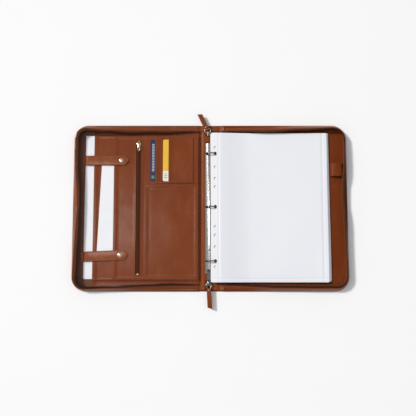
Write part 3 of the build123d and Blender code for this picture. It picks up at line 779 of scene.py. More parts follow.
# share of the way round from the foot, inward lean of the leather's top, inward flop of the tape
FRONT_WALL = ((0, 12.6, 3), (0.03, 12.2, 3), (0.14, 9, 2.6), (0.26, 3, 4), (0.30, 2.5, 6), (0.36, 3, 7.5),
              (0.42, 5.5, 7.5), (0.50, 8.8, 6.5), (0.58, 5.4, 7.5), (0.64, 2.8, 7.5), (0.70, 3.5, 7),
              (0.76, 9.5, 5), (0.88, 12, 4), (0.97, 12.6, 4), (1, 12.6, 4))
BACK_WALL = ((0, 12.6, 3), (0.03, 12.0, 3), (0.12, 6, 3.6), (0.26, 4, 4), (0.34, 3, 2), (0.40, 5, 0),
             (0.46, 9, -4), (0.50, 11, -6), (0.56, 10.5, -6), (0.61, 6, -2), (0.66, 3.5, 2), (0.74, 5, 3),
             (0.80, 7, 5.5), (0.88, 10, 5.5), (0.97, 12.2, 4), (1, 12.6, 4))


def rim_path(side, inset, start_x, step=2.2):
    """Points inside a cover's edge, from the spine's foot round to its head, and outward normals."""
    radius = CORNER_R - inset
    corner_x, corner_y = HALF_W - CORNER_R, HALF_H - CORNER_R
    foot_x = np.arange(start_x, corner_x, step)
    side_y = np.arange(-corner_y + step, corner_y, step)

    def corner(first_angle, centre_y):
        arc = np.radians(np.linspace(first_angle, first_angle + 90, 20))
        turned = [(math.cos(a), math.sin(a)) for a in arc]
        return [((corner_x + radius * x, centre_y + radius * y), (x, y)) for x, y in turned]

    stations = [((x, inset - HALF_H), (0, -1)) for x in foot_x]
    stations += corner(-90, -corner_y)
    stations += [((HALF_W - inset, y), (1, 0)) for y in side_y]
    stations += corner(0, corner_y)
    stations += [((x, HALF_H - inset), (0, 1)) for x in foot_x[::-1]]
    points, normals = np.array(stations, float).transpose(1, 0, 2)
    flip = np.array([side, 1])
    return points * flip, normals * flip


class Wall:
    """The leaning leather wall round one cover, with the zip tape and coil along its top."""

    def __init__(self, side, body, leans):
        seed = 5 + side
        self.body, self.name = body, "front" if side < 0 else "back"
        self.path, self.normal = rim_path(side, 0.6, WALL_FOOT_X - 7)
        lengths = path_lengths(self.path)
        share = lengths / lengths[-1]
        table = np.array(leans)
        wave = 0.45 * ripple(lengths, 0, seed, 70) + 0.12 * ripple(lengths, 0, seed + 1, 24)
        wave = wave * smooth(share, 0, 0.06) * (1 - smooth(share, 0.94, 1))
        self.lean = np.interp(share, table[:, 0], table[:, 1]) + wave
        self.rise = np.sqrt(np.maximum(LEATHER_STRIP**2 - self.lean**2, 16))
        taper = 0.12 + 0.88 * smooth(share, 0.008, 0.10) * (1 - smooth(share, 0.90, 0.992))
        self.width = TAPE_STRIP * taper
        self.flop = (np.interp(share, table[:, 0], table[:, 2]) + wave * 0.8) * taper

    def place(self, out, z):
        """Points at distance out from the base line and height z, one per station."""
        return np.column_stack([self.path + self.normal * out[:, None], z])

    def curve(self, share, inward=0.0):
        """The wall's outer face at a share of its height, moved inward by a thickness."""
        out = -self.lean * share**1.5 - inward * np.cos(np.arctan2(self.lean, self.rise))
        z = WALL_FOOT_Z + self.rise * share - inward * self.lean / LEATHER_STRIP * 0.6
        return self.place(out, np.maximum(z, 1.2))

    def leather(self):
        shares = (0.0, 0.12, 0.3, 0.5, 0.7, 0.86, 0.96, 1.0)
        outer = [self.curve(s) for s in shares]
        crown = self.curve(1.03, WALL_THICK * 0.5)
        inner = [self.curve(s, WALL_THICK) for s in shares[::-1]]
        sections = np.stack([*outer, crown, *inner], axis=1)
        piece = loft(f"{self.name}_wall_leather", sections, TAN)
        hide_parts(f"{self.name}_zip_wall")
        base = self.place(np.full(len(self.path), -0.2), np.full(len(self.path), 1.7))
        carry(self.body, piece, tube(f"{self.name}_piping", base, 0.9, TAN))
        for share in (0.2, 0.84):
            spots, along = resample(self.curve(share, -0.05), STITCH_PITCH)
            name = f"{self.name}_wall_stitches_{int(share * 100)}"
            carry(self.body, scatter(name, bean(2.3, 0.75, 0.5), spots, along, THREAD))

    def tape_line(self, share):
        """The middle of the tape's thickness at a share of its width."""
        low_out = -self.lean * 0.75**1.5 - WALL_THICK - 0.35
        low_z = WALL_FOOT_Z + self.rise * 0.75
        turn_out = -self.lean - WALL_THICK * 0.6
        turn_z = WALL_FOOT_Z + self.rise + 0.9
        climb = np.sqrt(self.width**2 - self.flop**2)
        end_out = turn_out - self.flop
        end_z = np.minimum(turn_z + climb * 0.62, ZIP_TOP - 1.0)
        a, b, c = (1 - share) ** 2, 2 * share * (1 - share), share**2
        return self.place(a * low_out + b * turn_out + c * end_out, a * low_z + b * turn_z + c * end_z)

    def tape(self):
        middle = np.stack([self.tape_line(share) for share in np.linspace(0, 1, 9)], axis=1)
        across = np.array([directions(line) for line in middle])
        run = np.column_stack([directions(self.path), np.zeros(len(self.path))])[:, None]
        thick = np.cross(across, np.broadcast_to(run, across.shape)) * 0.3
        sections = np.concatenate([middle + thick, (middle - thick)[:, ::-1]], axis=1)
        piece = loft(f"{self.name}_tape", sections, TAPE)
        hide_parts(f"{self.name}_zip_tape")
        carry(self.body, piece)
        return middle[:, -1], across[:, -1]

    def teeth(self, tip, direction):
        """The coil and its cord along the tape's tip, stopping short of the spine."""
        clear = np.abs(self.path[:, 0]) > WALL_FOOT_X + 3
        tip, direction = tip[clear], direction[clear]
        spots, run = resample(tip, TOOTH_PITCH)
        lengths = path_lengths(tip)
        places = (np.arange(len(spots)) + 0.5) * lengths[-1] / len(spots)
        across = np.stack([np.interp(places, lengths, direction[:, k]) for k in range(3)], axis=1)
        centres = spots - across * 0.9
        teeth = scatter(f"{self.name}_coil", bean(3.4, 0.95, 1.9), centres, across, COIL,
                        up=np.cross(run, across))
        cord = tube(f"{self.name}_coil_cord", centres - across * 1.2, 0.85, COIL, sides=8)
        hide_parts(f"{self.name}_zip_teeth")
        carry(self.body, teeth, cord)

    def build(self):
        self.leather()
        self.teeth(*self.tape())


# ================================================================ CAD solids that are shown as they are
CAD_LOOKS = (
    (NICKEL, ("ring_plate", "plate_rivets", "lever_pin")),
    (SMOKED, ("right_rings", "left_rings", "right_blade", "left_blade", "release_lever")),
    (BOARD, ("back_cover_board", "front_cover_board", "spine_board")),
    (BRASS, ("pocket_zip_stops",)),
)


def dress_cad_nodes():
    """Gives the carried-over CAD nodes their materials and smooth shading."""
    for material, nodes in CAD_LOOKS:
        for node in nodes:
            mesh = frame["nodes"][node].data
            mesh.materials.clear()
            mesh.materials.append(material)
            mesh.polygons.foreach_set("use_smooth", [True] * len(mesh.polygons))
            mesh.set_sharp_from_angle(angle=math.radians(35))
            mesh.update()


# ================================================================ punched pockets
SLEEVE_LEFT, SLEEVE_RIGHT, SLEEVE_FOOT, SLEEVE_HEAD = span("top_sleeve")
STACK_Z = low("sleeve_stack")[2]
SLEEVE_COUNT = 7
SLEEVE_PITCH = (low("top_sleeve")[2] - STACK_Z) / (SLEEVE_COUNT - 1)
RING_DRAPE = (18.0, 82.0)  # from the spine: where the pockets leave the rings and reach the cover
PUNCHED_X = 10.0
RING_HOLES = [(PUNCHED_X, y, 3.4) for y in (-108.0, 0.0, 108.0)]
SMALL_HOLES = [(PUNCHED_X, side * y, 3.0) for side in (-1, 1) for y in (40.0, 57.0, 80.0, 120.0)]
HOLE_STATIONS_X = around([PUNCHED_X], (-3.4, -3, -1.7, -1.2, 0, 1.2, 1.7, 3, 3.4))
HOLE_STATIONS_Y = [y + k * r / 4 for _, y, r in RING_HOLES + SMALL_HOLES for k in (-4, -2, 0, 2, 4)]
WELD_STATIONS = (-1.5, -0.7, 0.0, 0.7, 1.5)
STRIP_WELD_X = 17.0
SIDE_WELD = 8.5
FOOT_WELD = 6.5
OVERHANGS = (5.4, 4.6, 3.7, 2.9, 2.0, 1.2, 0.2)  # how far each pocket sticks out, lowest first
SLEEVE_TURNS = (0.30, 0.05, 0.22, -0.05, 0.14, 0.0, 0.04)
SLEEVE_NODES = {0: ("sleeve_stack", "stack_inserts"), SLEEVE_COUNT - 1: ("top_sleeve", "top_insert")}


def sleeve_drape(index):
    """How high one punched pocket lies above its flat place on the rings."""
    drop = STACK_Z - LINING_TOP - 0.5

    def lift(x, y):
        swell = 0.5 * ripple(x, y, 21, 150) + 0.16 * ripple(x, y, 40 + index, 90)
        curl = 0.9 * smooth(x, 205, 240) * smooth(np.abs(y - 20), 60, 150)
        return -drop * smooth(x, *RING_DRAPE) + (swell + curl + 0.6) * smooth(x, 30, 90)

    return lift


def punched_pocket(index):
    """One film pocket: a back film, the sheet inside and a front film with its weld line."""
    base = STACK_Z + index * SLEEVE_PITCH
    right = SLEEVE_RIGHT + OVERHANGS[index]
    foot = SLEEVE_FOOT + 0.4 * math.sin(index * 2.1)
    box = (SLEEVE_LEFT - 2.2, right, foot, SLEEVE_HEAD - 0.5 * math.sin(index))
    weld_x, weld_y = right - SIDE_WELD, foot + FOOT_WELD
    drape = sleeve_drape(index)

    def welded(x, y):
        nearest = np.minimum.reduce([np.abs(x - STRIP_WELD_X), np.abs(x - weld_x), np.abs(y - weld_y)])
        line = 1 - smooth(nearest, 0.4, 1.4)
        outside = np.maximum.reduce([smooth(x, weld_x, weld_x + 1),
                                     1 - smooth(x, STRIP_WELD_X - 1, STRIP_WELD_X),
                                     1 - smooth(y, weld_y - 1, weld_y)])
        return drape(x, y) - np.maximum(0.42 * line, 0.12 * outside)

    holes = RING_HOLES + SMALL_HOLES if index >= SLEEVE_COUNT - 2 else RING_HOLES
    stations = (HOLE_STATIONS_X + around((STRIP_WELD_X, weld_x), WELD_STATIONS),
                HOLE_STATIONS_Y + around([weld_y], WELD_STATIONS))
    films = []
    for name, z, thickness, lift in (("back", 0, 0.16, drape), ("front", 0.5, 0.14, welded)):
        film, _ = sheet(f"pocket_{index}_{name}_film", box, base + z, thickness, FILM, "clear_film", lift,
                        (3, 3), stations=stations, holes=holes, step=5.0)
        films.append(film)
    nudge = 1.5 + 1.2 * math.sin(index * 1.7)
    left, right, foot, head = span("top_insert")
    insert, _ = sheet(f"pocket_{index}_sheet", (left + nudge, right + nudge, foot, head), base + 0.25, 0.14,
                      PAPER, "paper", drape)
    for piece in (*films, insert):
        turn(piece, SLEEVE_TURNS[index], (PUNCHED_X, 0))
    if index in SLEEVE_NODES:
        for piece, node in zip((films[1], insert), SLEEVE_NODES[index]):
            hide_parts(node)
    carry("top_page" if index == SLEEVE_COUNT - 1 else "pages", *films, insert)


# ================================================================ pen loop
def band(name, profile, foot, head, thickness, material):
    """A leather strip that follows a profile of (x, z) from foot to head."""
    spots, along = resample(profile, 0.9)
    out = np.stack([-along[:, 1], along[:, 0]], axis=1)
    ys = np.concatenate([[foot, foot + 0.3, foot + 1.0], np.linspace(foot + 4, head - 4, 6),
                         [head - 1.0, head - 0.3, head]])
    fullness = np.clip(np.minimum(ys - foot, head - ys), 0, 1) * 0.4 + 0.6
    sections = []
    for (x, z), (nx, nz) in zip(spots, out):
        outer = [(x + nx * thickness * f, y, z + nz * thickness * f) for y, f in zip(ys, fullness)]
        inner = [(x, y, z) for y in ys[::-1]]
        sections.append(outer + inner)
    return loft(name, sections, material)


def pen_loop():
    left, right, foot, head = span("pen_loop")
    bottom, top = low("pen_loop")[2], high("pen_loop")[2]
    middle, thickness = (left + right) / 2, 1.25
    half, rise = (right - left) / 2, top - bottom - thickness
    flange = [(half, 0.3), (half - 0.8, 0.3), (half - 1.6, 0.4)]  # from the loop's outer edge inwards
    profile = [(middle - x, bottom + z) for x, z in flange]
    for angle in np.radians(np.linspace(172, 8, 26)):
        bulge = abs(math.cos(angle)) ** 0.85 * math.copysign(1, math.cos(angle))
        climb = math.sin(angle) ** 0.8
        profile.append((middle + (half - 2.6) * bulge, bottom + 0.6 + (rise - 0.6) * climb))
    profile += [(middle + x, bottom + z) for x, z in flange[::-1]]
    loop = band("pen_loop_leather", profile, foot, head, thickness, DEEP_TAN)
    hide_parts("pen_loop")
    rows = [[(x, foot + 1.5), (x, head - 1.5)] for x in (left + 0.7, right - 0.7)]
    carry("back_cover", loop, seam("pen_loop_stitches", rows, level(bottom + 0.3 + thickness)))


# ================================================================ pockets on the front cover
# Heights of the pockets' undersides above the table, from the lowest layer to the highest.
DOCUMENT_Z, FRONT_Z, LOWER_Z, REAR_CARD_Z, FRONT_CARD_Z = 4.5, 6.25, 7.45, 7.9, 9.3


def panel(node, box, z, thickness, sides, drop, seed, swell=level(0), width=(2.5, 9.0), name=None, **more):
    """A leather pocket lowered by drop along its sewn sides, with turned edges and seams all round."""
    left, right, foot, head = box
    name = name or f"{node}_panel"

    def lift(x, y):
        reach = {"L": x - left, "R": right - x, "F": y - foot, "H": head - y}
        sewn = 1 - smooth(np.minimum.reduce([reach[side] for side in sides]), *width)
        uneven = 0.12 * ripple(x, y, seed, 50) * smooth(depth_inside(x, y, box), 3, 14)
        return swell(x, y) - drop * sewn + uneven

    piece, top = sheet(name, box, z, thickness, TAN, "leather", lift, hem=0.3, **more)
    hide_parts(node)
    carry("front_cover", piece, seam(f"{name}_stitches", frame_lines(box, 2.2), top))


def document_pocket():
    """The large pocket, stepping down outside the front pocket that lies on it."""
    left, right, _, head = span("document_pocket")
    mouth = high("front_pocket")[1]
    margin = head + 2.6

    def stepped(x, y):
        over = np.abs(y) - mouth
        ridge = 0.3 * smooth(over, -6.5, -5.5) * (1 - smooth(over, -0.6, 0.0))
        return ridge - 0.95 * smooth(over, -0.4, 0.3)

    step_offsets = (-7, -6.5, -6, -5.5, -0.6, -0.3, 0, 0.3, 0.8)
    steps = [side * (mouth + k) for side in (-1, 1) for k in step_offsets]
    panel("document_pocket", (left, right, -margin, margin), DOCUMENT_Z, 0.8, "R", 0.75, 61,
          swell=stepped, hem_width=8.0, stations=((), steps))
    lines = frame_lines((left, right, -mouth, mouth), 2.4, "FH")
    carry("front_cover", seam("document_pocket_seams", lines, level(DOCUMENT_Z + 1.02)))


def zipped_pocket():
    """The front pocket, with raised lips round the slot that shows the zip."""
    left, right, foot, head = span("pocket_zip_tape")
    slot = (left + 3.5, right - 3.5, foot + 4.0, head - 4.0)

    def lips(x, y):
        return 0.35 * (1 - smooth(-depth_inside(x, y, slot), 1.2, 3.2))

    offsets = (-3.2, -2.2, -1.2, -0.5, 0, 0.5, 1.2, 2.2, 3.2)
    panel("front_pocket", span("front_pocket"), FRONT_Z, 0.8, "RFH", 0.9, 62, swell=lips, width=(0.2, 5.0),
          stations=(around(slot[:2], offsets), around(slot[2:], offsets)), windows=[slot])
    lines = frame_lines(slot, -2.6)
    carry("front_cover", seam("pocket_zip_stitches", lines, level(FRONT_Z + 1.03)))


def hill(x, y):
    """A soft rise in the lower pocket."""
    return 0.5 * np.exp(-((x + 80) / 34) ** 2 - ((y + 30) / 60) ** 2)


def front_pockets():
    document_pocket()
    zipped_pocket()
    panel("lower_pocket", span("lower_pocket"), LOWER_Z, 0.7, "LRF", 0.35, 63, swell=hill)
    panel("rear_card_pocket", span("rear_card_pocket"), REAR_CARD_Z, 0.6, "RFH", 0.8, 64,
          hem_width=5.0, name="rear_card_panel")
    box = np.array(span("front_card_pocket")) + (0, 4.0, 1.5, -1.5)
    panel("front_card_pocket", box, FRONT_CARD_Z, 0.6, "RFH", 0.7, 65,
          hem_width=5.0, name="front_card_panel")


# ================================================================ papers and cards
SHEET_SHIFTS = ((0.6, -0.5, 0.10), (-0.7, 0.6, -0.14), (0.2, -0.2, 0.06), (0.9, 0.3, 0.18))  # x, y, degrees
SHEET_Z = 3.68
SHEET_PITCH = 0.17
NOTE_CENTRE = (-148.5, -3.6)
NOTE_HALF = (74.25, 105)
NOTE_TURN = -2.4
NOTE_Z = 5.8


def document_sheets():
    """Four loose sheets that stick out of the large pocket."""
    mouth = high("front_pocket")[1]
    left, right, _, _ = span("document_sheets")
    for index, (shift_x, shift_y, angle) in enumerate(SHEET_SHIFTS):
        def lift(x, y, seed=80 + index):
            return 0.04 * ripple(x, y, seed, 120)

        box = (left + shift_x, right + shift_x, 4.0 - mouth + shift_y, mouth - 1.6 + shift_y)
        piece, _ = sheet(f"loose_sheet_{index}", box, SHEET_Z + index * SHEET_PITCH, 0.11, PAPER, "paper",
                         lift, step=8.0)
        turn(piece, angle, (-147, 0))
        if index == 0:
            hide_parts("document_sheets")
        carry("front_cover", piece)


def note_sheet():
    """A half-size sheet tucked under the straps and behind the zipped pocket."""
    (x, y), (half_x, half_y) = NOTE_CENTRE, NOTE_HALF
    box = (x - half_x, x + half_x, y - half_y, y + half_y)

    def lift(x, y):
        out = (1 - smooth(x, box[0], box[0] + 26)) * smooth(-x, 190, 196)
        return 0.05 * ripple(x, y, 91, 80) + 0.15 * out * smooth(np.abs(y + 12), 20, 100)

    piece, _ = sheet("note_paper", box, NOTE_Z, 0.14, PAPER, "paper", lift, step=5.0)
    turn(piece, NOTE_TURN, NOTE_CENTRE)
    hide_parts("note_sheet")
    carry("note_sheet", piece)


def card(node, material, slot):
    box = span(node)
    bottom, top = low(node)[2], high(node)[2]

    def lift(x, y):
        return 0.1 * ((x - box[0]) / (box[1] - box[0]) - 0.5) ** 2

    piece, _ = sheet(f"{node}_face", box, bottom, top - bottom, material, slot, lift, (3.2, 3.2),
                     rounding=0.3)
    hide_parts(node)
    carry(node, piece)


# ================================================================ pocket zip
# Sliders: half widths; heights and bevel of each face; the post's radius, heights and place; the loop's
# reach to either side of its pull, its foot and peak, and its wire.
POCKET_SLIDER = {"widths": (4.2, 2.9), "face": (7.45, 8.35, 0.35), "back": (6.25, 6.75, 0.2),
                 "post": (0.8, 6.5, 7.7, 3.4), "loop": (-4.4, 2.6, 8.1, 10.2, 0.62)}
MAIN_SLIDER = {"widths": (4.6, 3.3), "face": (6.2, 7.3, 0.45), "back": (4.2, 4.9, 0.25),
               "post": (1.1, 4.6, 6.6, 2.6), "loop": (-3.2, 2.6, 7.0, 10.6, 0.75)}


def pocket_zip():
    box = span("pocket_zip_tape")
    middle = (box[0] + box[1]) / 2
    tape, _ = sheet("pocket_zip_weave", box, low("pocket_zip_tape")[2], 0.3, POCKET_TAPE, "zip_fabric",
                    step=3.0)
    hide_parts("pocket_zip_tape")
    _, _, foot, head = span("pocket_zip_teeth")
    teeth = zigzag_coil("pocket_zip_coil", bean(2.6, 0.62, 0.95), middle, np.arange(foot, head, 0.85),
                        0.55, 6.75, POCKET_COIL)
    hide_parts("pocket_zip_teeth")
    carry("front_cover", tape, teeth)
    _, _, foot, head = span("pocket_zip_slider")
    slider("pocket_slider", "pocket_zip_slider", middle, (foot + head) / 2, 1, POCKET_SLIDER,
           BRASS, "brass")
    pocket_pull(middle)


def slider_outline(centre, length, wide, narrow, up):
    """The outline of a zip slider: broad shoulders at one end, narrow at the other."""
    half = length / 2
    flank = [(narrow, -half), (narrow * 1.02, -half * 0.3), (wide, half * 0.25), (wide, half * 0.8),
             (wide * 0.82, half), (wide * 0.3, half * 0.94)]
    shape = [(-narrow, -half), (-narrow * 0.6, -half), (narrow * 0.6, -half), *flank, (0, half * 0.7)]
    shape += [(-x, y) for x, y in flank[:0:-1]]
    outline = [(centre[0] + x, centre[1] + y * up) for x, y in shape]
    return outline if up > 0 else outline[::-1]


def slider(body, node, x, anchor, up, shape, material, slot):
    """A zip slider: two faces joined by a post, with an arched loop along Y for its pull."""
    _, _, foot, head = span(node)
    middle = (foot + head) / 2
    outline = slider_outline((x, middle), head - foot, *shape["widths"], up)
    upper = plate(f"{body}_face", outline, *shape["face"], material, slot)
    lower = plate(f"{body}_back", outline, *shape["back"], material, slot)
    radius, bottom, top, offset = shape["post"]
    post = peg(f"{body}_post", radius, bottom, top, (x, middle + up * offset), material)
    near, far, base, peak, wire = shape["loop"]
    start, end = sorted((anchor + up * near, anchor + up * far))
    arch = [(x, (start + end) / 2 - (end - start) / 2 * math.cos(a),
             base + (peak - base) * math.sin(a) ** 0.7) for a in np.linspace(0, math.pi, 14)]
    loop = tube(f"{body}_loop", arch, wire, material, up=(1, 0, 0), flatten=1.5)
    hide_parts(node)
    carry(body, upper, lower, post, loop)


def pocket_pull(middle):
    """A long wire loop, narrower at its head."""
    _, _, foot, head = span("pocket_zip_pull")
    head += 0.2
    ring = [(middle + (1.5 + 0.9 * (1 - math.sin(a)) / 2) * math.cos(a),
             (head + foot) / 2 + (head - foot) / 2 * math.sin(a), 9.4)
            for a in np.linspace(0, math.tau, 40, endpoint=False)]
    pull = tube("pocket_pull_loop", ring, 0.55, BRASS, closed=True, flatten=0.8)
    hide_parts("pocket_zip_pull")
    carry("pocket_pull", pull)


# ================================================================ press-stud straps
STRAP_POINT = 8.5
STRAP_WIDE = 20.0
STRAP_THICK = high("upper_strap")[2] - low("upper_strap")[2]
# How the strap climbs from its root over the papers and pocket edges: distance from the root, height.
STRAP_CLIMB = ((0, 3.75), (4, 3.85), (9, 6.25), (16, 6.5), (24, 6.7), (40, 6.95), (56, 7.3), (66, 7.75),
               (100, 7.7))


def strap(end, turned):
    """One strap with a pointed end, its stitching and its domed stud."""
    pivot = joint_point(f"{end}_strap_lift")
    body = f"{end}_strap"
    root, tip = pivot[0] - 3.0, high(body)[0]
    box = (root, tip, pivot[1] - STRAP_WIDE / 2, pivot[1] + STRAP_WIDE / 2)
    places, heights = np.array(STRAP_CLIMB).T

    def lift(x, y):
        crown = 0.35 * (1 - ((y - pivot[1]) / 10) ** 2) * smooth(x, root + 8, root + 18)
        return np.interp(x - root, places, heights) + crown + 0.08 * ripple(x, y, 33, 30)

    def pointed(x, y):
        away = np.abs(y - pivot[1]) / (STRAP_WIDE / 2)
        return x - STRAP_POINT * away * smooth(x, tip - 15, tip - 0.5)

    stations = ([root + k for k in (4, 7, 9, 12, 15, 18, 22, 27)], ())
    piece, top = sheet(f"{end}_strap_leather", box, 0.0, STRAP_THICK + 0.2, STRAP, "leather", lift,
                       (1.5, 0), hem=0.12, hem_width=2.2, step=2.0, stations=stations, shift=pointed)
    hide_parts(body)
    shoulder, nose = tip - STRAP_POINT - 1.1, (tip - 2.2, pivot[1])
    lines = frame_lines((root, shoulder + 1.7, *box[2:]), 1.7, "FH")
    lines += [[(shoulder, box[2] + 1.7), nose], [nose, (shoulder, box[3] - 1.7)]]
    crossings = [[(x, box[2] + 2), (x, box[3] - 2)] for x in (root + 1.6, root + 8)]
    rows = [seam(f"{end}_strap_stitches", lines, top), seam(f"{end}_strap_root_stitches", crossings, top)]
    bend_start, bend_end = [((root + reach) * MM, pivot[1] * MM, 0) for reach in (8, 15)]
    for part in (piece, *rows):
        turn(part, turned, pivot)
        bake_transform(part)
        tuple(bend_start)
        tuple(bend_end)
    stud(end, body)


def stud(end, body):
    """A brass press stud: domed cap on the strap and a socket on the pocket below."""
    node = f"{end}_stud_cap"
    left, right, foot, head = span(node)
    x, y, radius = (left + right) / 2, (foot + head) / 2, (right - left) / 2
    peak = high(node)[2] + 0.3
    base = peak - 1.9
    profile = [(0, base), (radius - 0.4, base), (radius, base + 0.25), (radius, base + 0.6)]
    dome = np.radians((18, 36, 54, 70, 82))
    profile += [(radius * math.cos(a), base + 0.6 + 1.3 * math.sin(a)) for a in dome]
    cap = lathe(f"{end}_stud_dome", [*profile, (0, peak)], (x, y, 0), BRASS)
    post = peg(f"{end}_stud_post", 1.6, 7.6, base + 0.1, (x, y), BRASS)
    socket_profile = [(2.0, 7.0), (3.6, 7.0), (3.7, 7.2), (3.5, 7.45), (3.0, 7.5), (2.2, 7.45), (2.0, 7.3)]
    sections = [[(x + cx * r, y + cy * r, z) for r, z in socket_profile] for cx, cy in circle(1.0, 32)]
    socket = loft(f"{end}_stud_socket", sections, BRASS, ring=True)
    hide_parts(node)
    if end == "upper":
        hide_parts("stud_sockets")
    carry(body, cap, post)
    carry("front_cover", socket)


def strap_pads():
    """Leather pads under the strap roots."""
    for end in ("upper", "lower"):
        x, y, _ = joint_point(f"{end}_strap_lift")
        box = (x - 2.6, x + 2.4, y - 9.4, y + 9.4)
        piece, _ = sheet(f"{end}_strap_pad", box, LINING_TOP + 0.02, 0.5, STRAP, "leather",
                         radii=(1, 1), step=3.0)
        if end == "upper":
            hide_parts("strap_anchors")
        carry("front_cover", piece)


# ================================================================ main zip ends, sliders and tabs
TAIL_Y = (140.5, 165.5)
PATCH_INNER_Y = 133.6
PATCH_Z = 3.95
# Each tab: where it starts from the ring, its length, the slant of its cut, its rivet, its turn.
TABS = {"top": (-0.6, 37.3, -0.45, 7.3, 25.0), "bottom": (4.5, 44.0, 0.4, 8.6, 3.0)}
TAB_HALF = 4.6


def spine_end(end, up):
    """Zip tape lying over one end of the spine, with its end patch and the gussets beside it."""
    left, right, _, _ = span("zip_tape_tails")
    foot, head = sorted(up * y for y in TAIL_Y)
    tail, _ = sheet(f"{end}_tape_tail", (left, right, foot, head), LINING_TOP + 0.02, 0.45, TAPE,
                    "zip_fabric", step=3.0)
    coil = zigzag_coil(f"{end}_tail_coil", bean(3.0, 0.72, 0.8), (left + right) / 2,
                       np.arange(foot + 1, head - 1, TOOTH_PITCH / 2), 0.6, 4.3, COIL)
    left, right, _, outer = span("zip_end_patches")
    foot, head = sorted((up * PATCH_INNER_Y, up * (outer + 0.3)))
    patch, top = sheet(f"{end}_patch_leather", (left, right, foot, head), PATCH_Z, 0.75, SPINE_TAN,
                       "leather", radii=(2.5, 2.5), hem=0.1, hem_width=2.5, step=2.5)
    lines = frame_lines((left, right, foot, head), 1.6)
    for start_y, end_y in ((foot + 2.5, head - 2.5), (head - 2.5, foot + 2.5)):
        lines.append([(left + 2.5, start_y), (right - 2.5, end_y)])
    stitches = seam(f"{end}_patch_stitches", lines, top)
    if up > 0:
        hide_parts("zip_tape_tails")
        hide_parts("zip_end_patches")
    carry("spine", tail, coil, patch, stitches)
    for side, body in ((-1, "front_cover"), (1, "back_cover")):
        end_gusset(f"{body}_{end}_gusset", side, up, body)


def end_gusset(name, side, up, body):
    """Soft leather that joins the end of a cover's wall to the spine, over the hinge groove."""
    left, right, _, _ = span("zip_tape_tails")
    tape_edge = right if side > 0 else -left
    edge = HALF_H - LINING_INSET
    box = (tape_edge + 0.1, WALL_FOOT_X - 2, *sorted((up * (edge - 9.5), up * (edge + 0.5))))

    def lift(x, y):
        climb = 1.6 * smooth(np.abs(x), COVER_BOARD_X - 1, WALL_FOOT_X - 2)
        return climb - 0.9 * fold_groove(x) + 0.12 * ripple(x, y, 17, 16)

    piece, _ = sheet(name, mirrored(box, side), LINING_TOP + 0.08, 0.9, SPINE_TAN, "leather", lift,
                     hem=0.15, hem_width=2.5, step=2.5,
                     stations=groove_stations(side, (-3, -1, 1, 2, 3, 4, 5, 6, 8)))
    bend_at_fold(piece, side, body, 3)


def pull_ring(end):
    """The pull's ring: a plain ring at the head, a three-lobed one at the foot."""
    node = f"{end}_pull_ring"
    ring_low, ring_high = low(node), high(node)
    x, y, z = (ring_low + ring_high) / 2
    radius = (ring_high[0] - ring_low[0]) / 2 - 0.8
    lobes = 0.0 if end == "top" else 0.55
    angles = np.linspace(0, math.tau, 72, endpoint=False)
    reach = radius + lobes * np.cos(3 * (angles + math.pi / 2)) - lobes
    points = [(x + r * math.cos(a), y + r * math.sin(a), z) for a, r in zip(angles, reach)]
    ring = tube(f"{end}_ring_wire", points, 0.85, WORN, closed=True)
    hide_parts(node)
    carry(f"{end}_ring", ring)


def pull_tab(end, up):
    """A leather tab folded round the ring, stitched and riveted; drawn towards +Y and then placed."""
    x_middle, y_ring, height = joint_point(f"{end}_tab_swing")
    start, length, cut, rivet_y, turned = TABS[end]
    box = (x_middle - TAB_HALF, x_middle + TAB_HALF, start, length)

    def surface(sign):
        """The upper or lower face: rolled over the ring, rounded at its edges and drooping at its tip."""
        def face(x, y):
            roll = 0.75 * np.exp(-((y - start - 1.9) / 1.7) ** 2)
            edge = np.clip(depth_inside(x, y, box) / 1.1, 0, 1)
            thickness = (1.05 + roll) * (0.35 + 0.65 * np.sqrt(1 - (1 - edge) ** 2))
            return height + sign * thickness + droop(y)
        return face

    def droop(y):
        return -0.35 * smooth(y, 14, length)

    def warp(x, y):
        waist = 1 - 0.14 * np.exp(-((y - start - 5) / 3.0) ** 2)
        slant = cut * (x - x_middle) * smooth(y, length - 14, length)
        return x_middle + (x - x_middle) * waist, y + slant

    xs = spaced(box[0], box[1], 1.5)
    ys = spaced(start, length, 2.0, around([start], (0.4, 0.9, 1.7, 2.5, 3.5, 5, 6.5, 8)))
    piece = slab(f"{end}_tab_leather", xs, ys, surface(1), surface(-1), TAN, "leather", warp=warp)
    seam_y, left, right = start + 8.0, box[0] + 1.3, box[1] - 1.3
    outline = [(left, seam_y), (left, length - 2.2), (right, length - 1.4), (right, seam_y), (left, seam_y)]
    lines = [outline[k:k + 2] for k in range(4)]
    stitches = seam(f"{end}_tab_stitches", lines, lambda x, y: height + 0.98 + droop(y), pitch=2.8)
    profile = [(0, 0.8), (2.0, 0.8), (2.1, 1.15), (1.9, 1.4), (1.2, 1.65), (0, 1.75)]
    rivets = []
    for face, sign in (("upper", 1), ("lower", -1)):
        turned_profile = [(r, sign * z) for r, z in profile]
        rivets.append(lathe(f"{end}_tab_rivet_{face}", turned_profile, (x_middle, rivet_y, height),
                            SMOKED))
    for part in (piece, stitches, *rivets):
        part.data.transform(Matrix.Translation((0, y_ring * MM, 0)) @ Matrix.Diagonal((1, up, 1, 1)))
        if up < 0:
            part.data.flip_normals()
        turn(part, turned, (x_middle, y_ring))
    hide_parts(f"{end}_pull_tab")
    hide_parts(f"{end}_tab_rivet")
    carry(f"{end}_tab", piece, stitches, *rivets)


# ================================================================ floor, light and camera
ROOM_COLOUR = (0.97, 0.98, 1.0)
ROOM_STRENGTH = 0.42
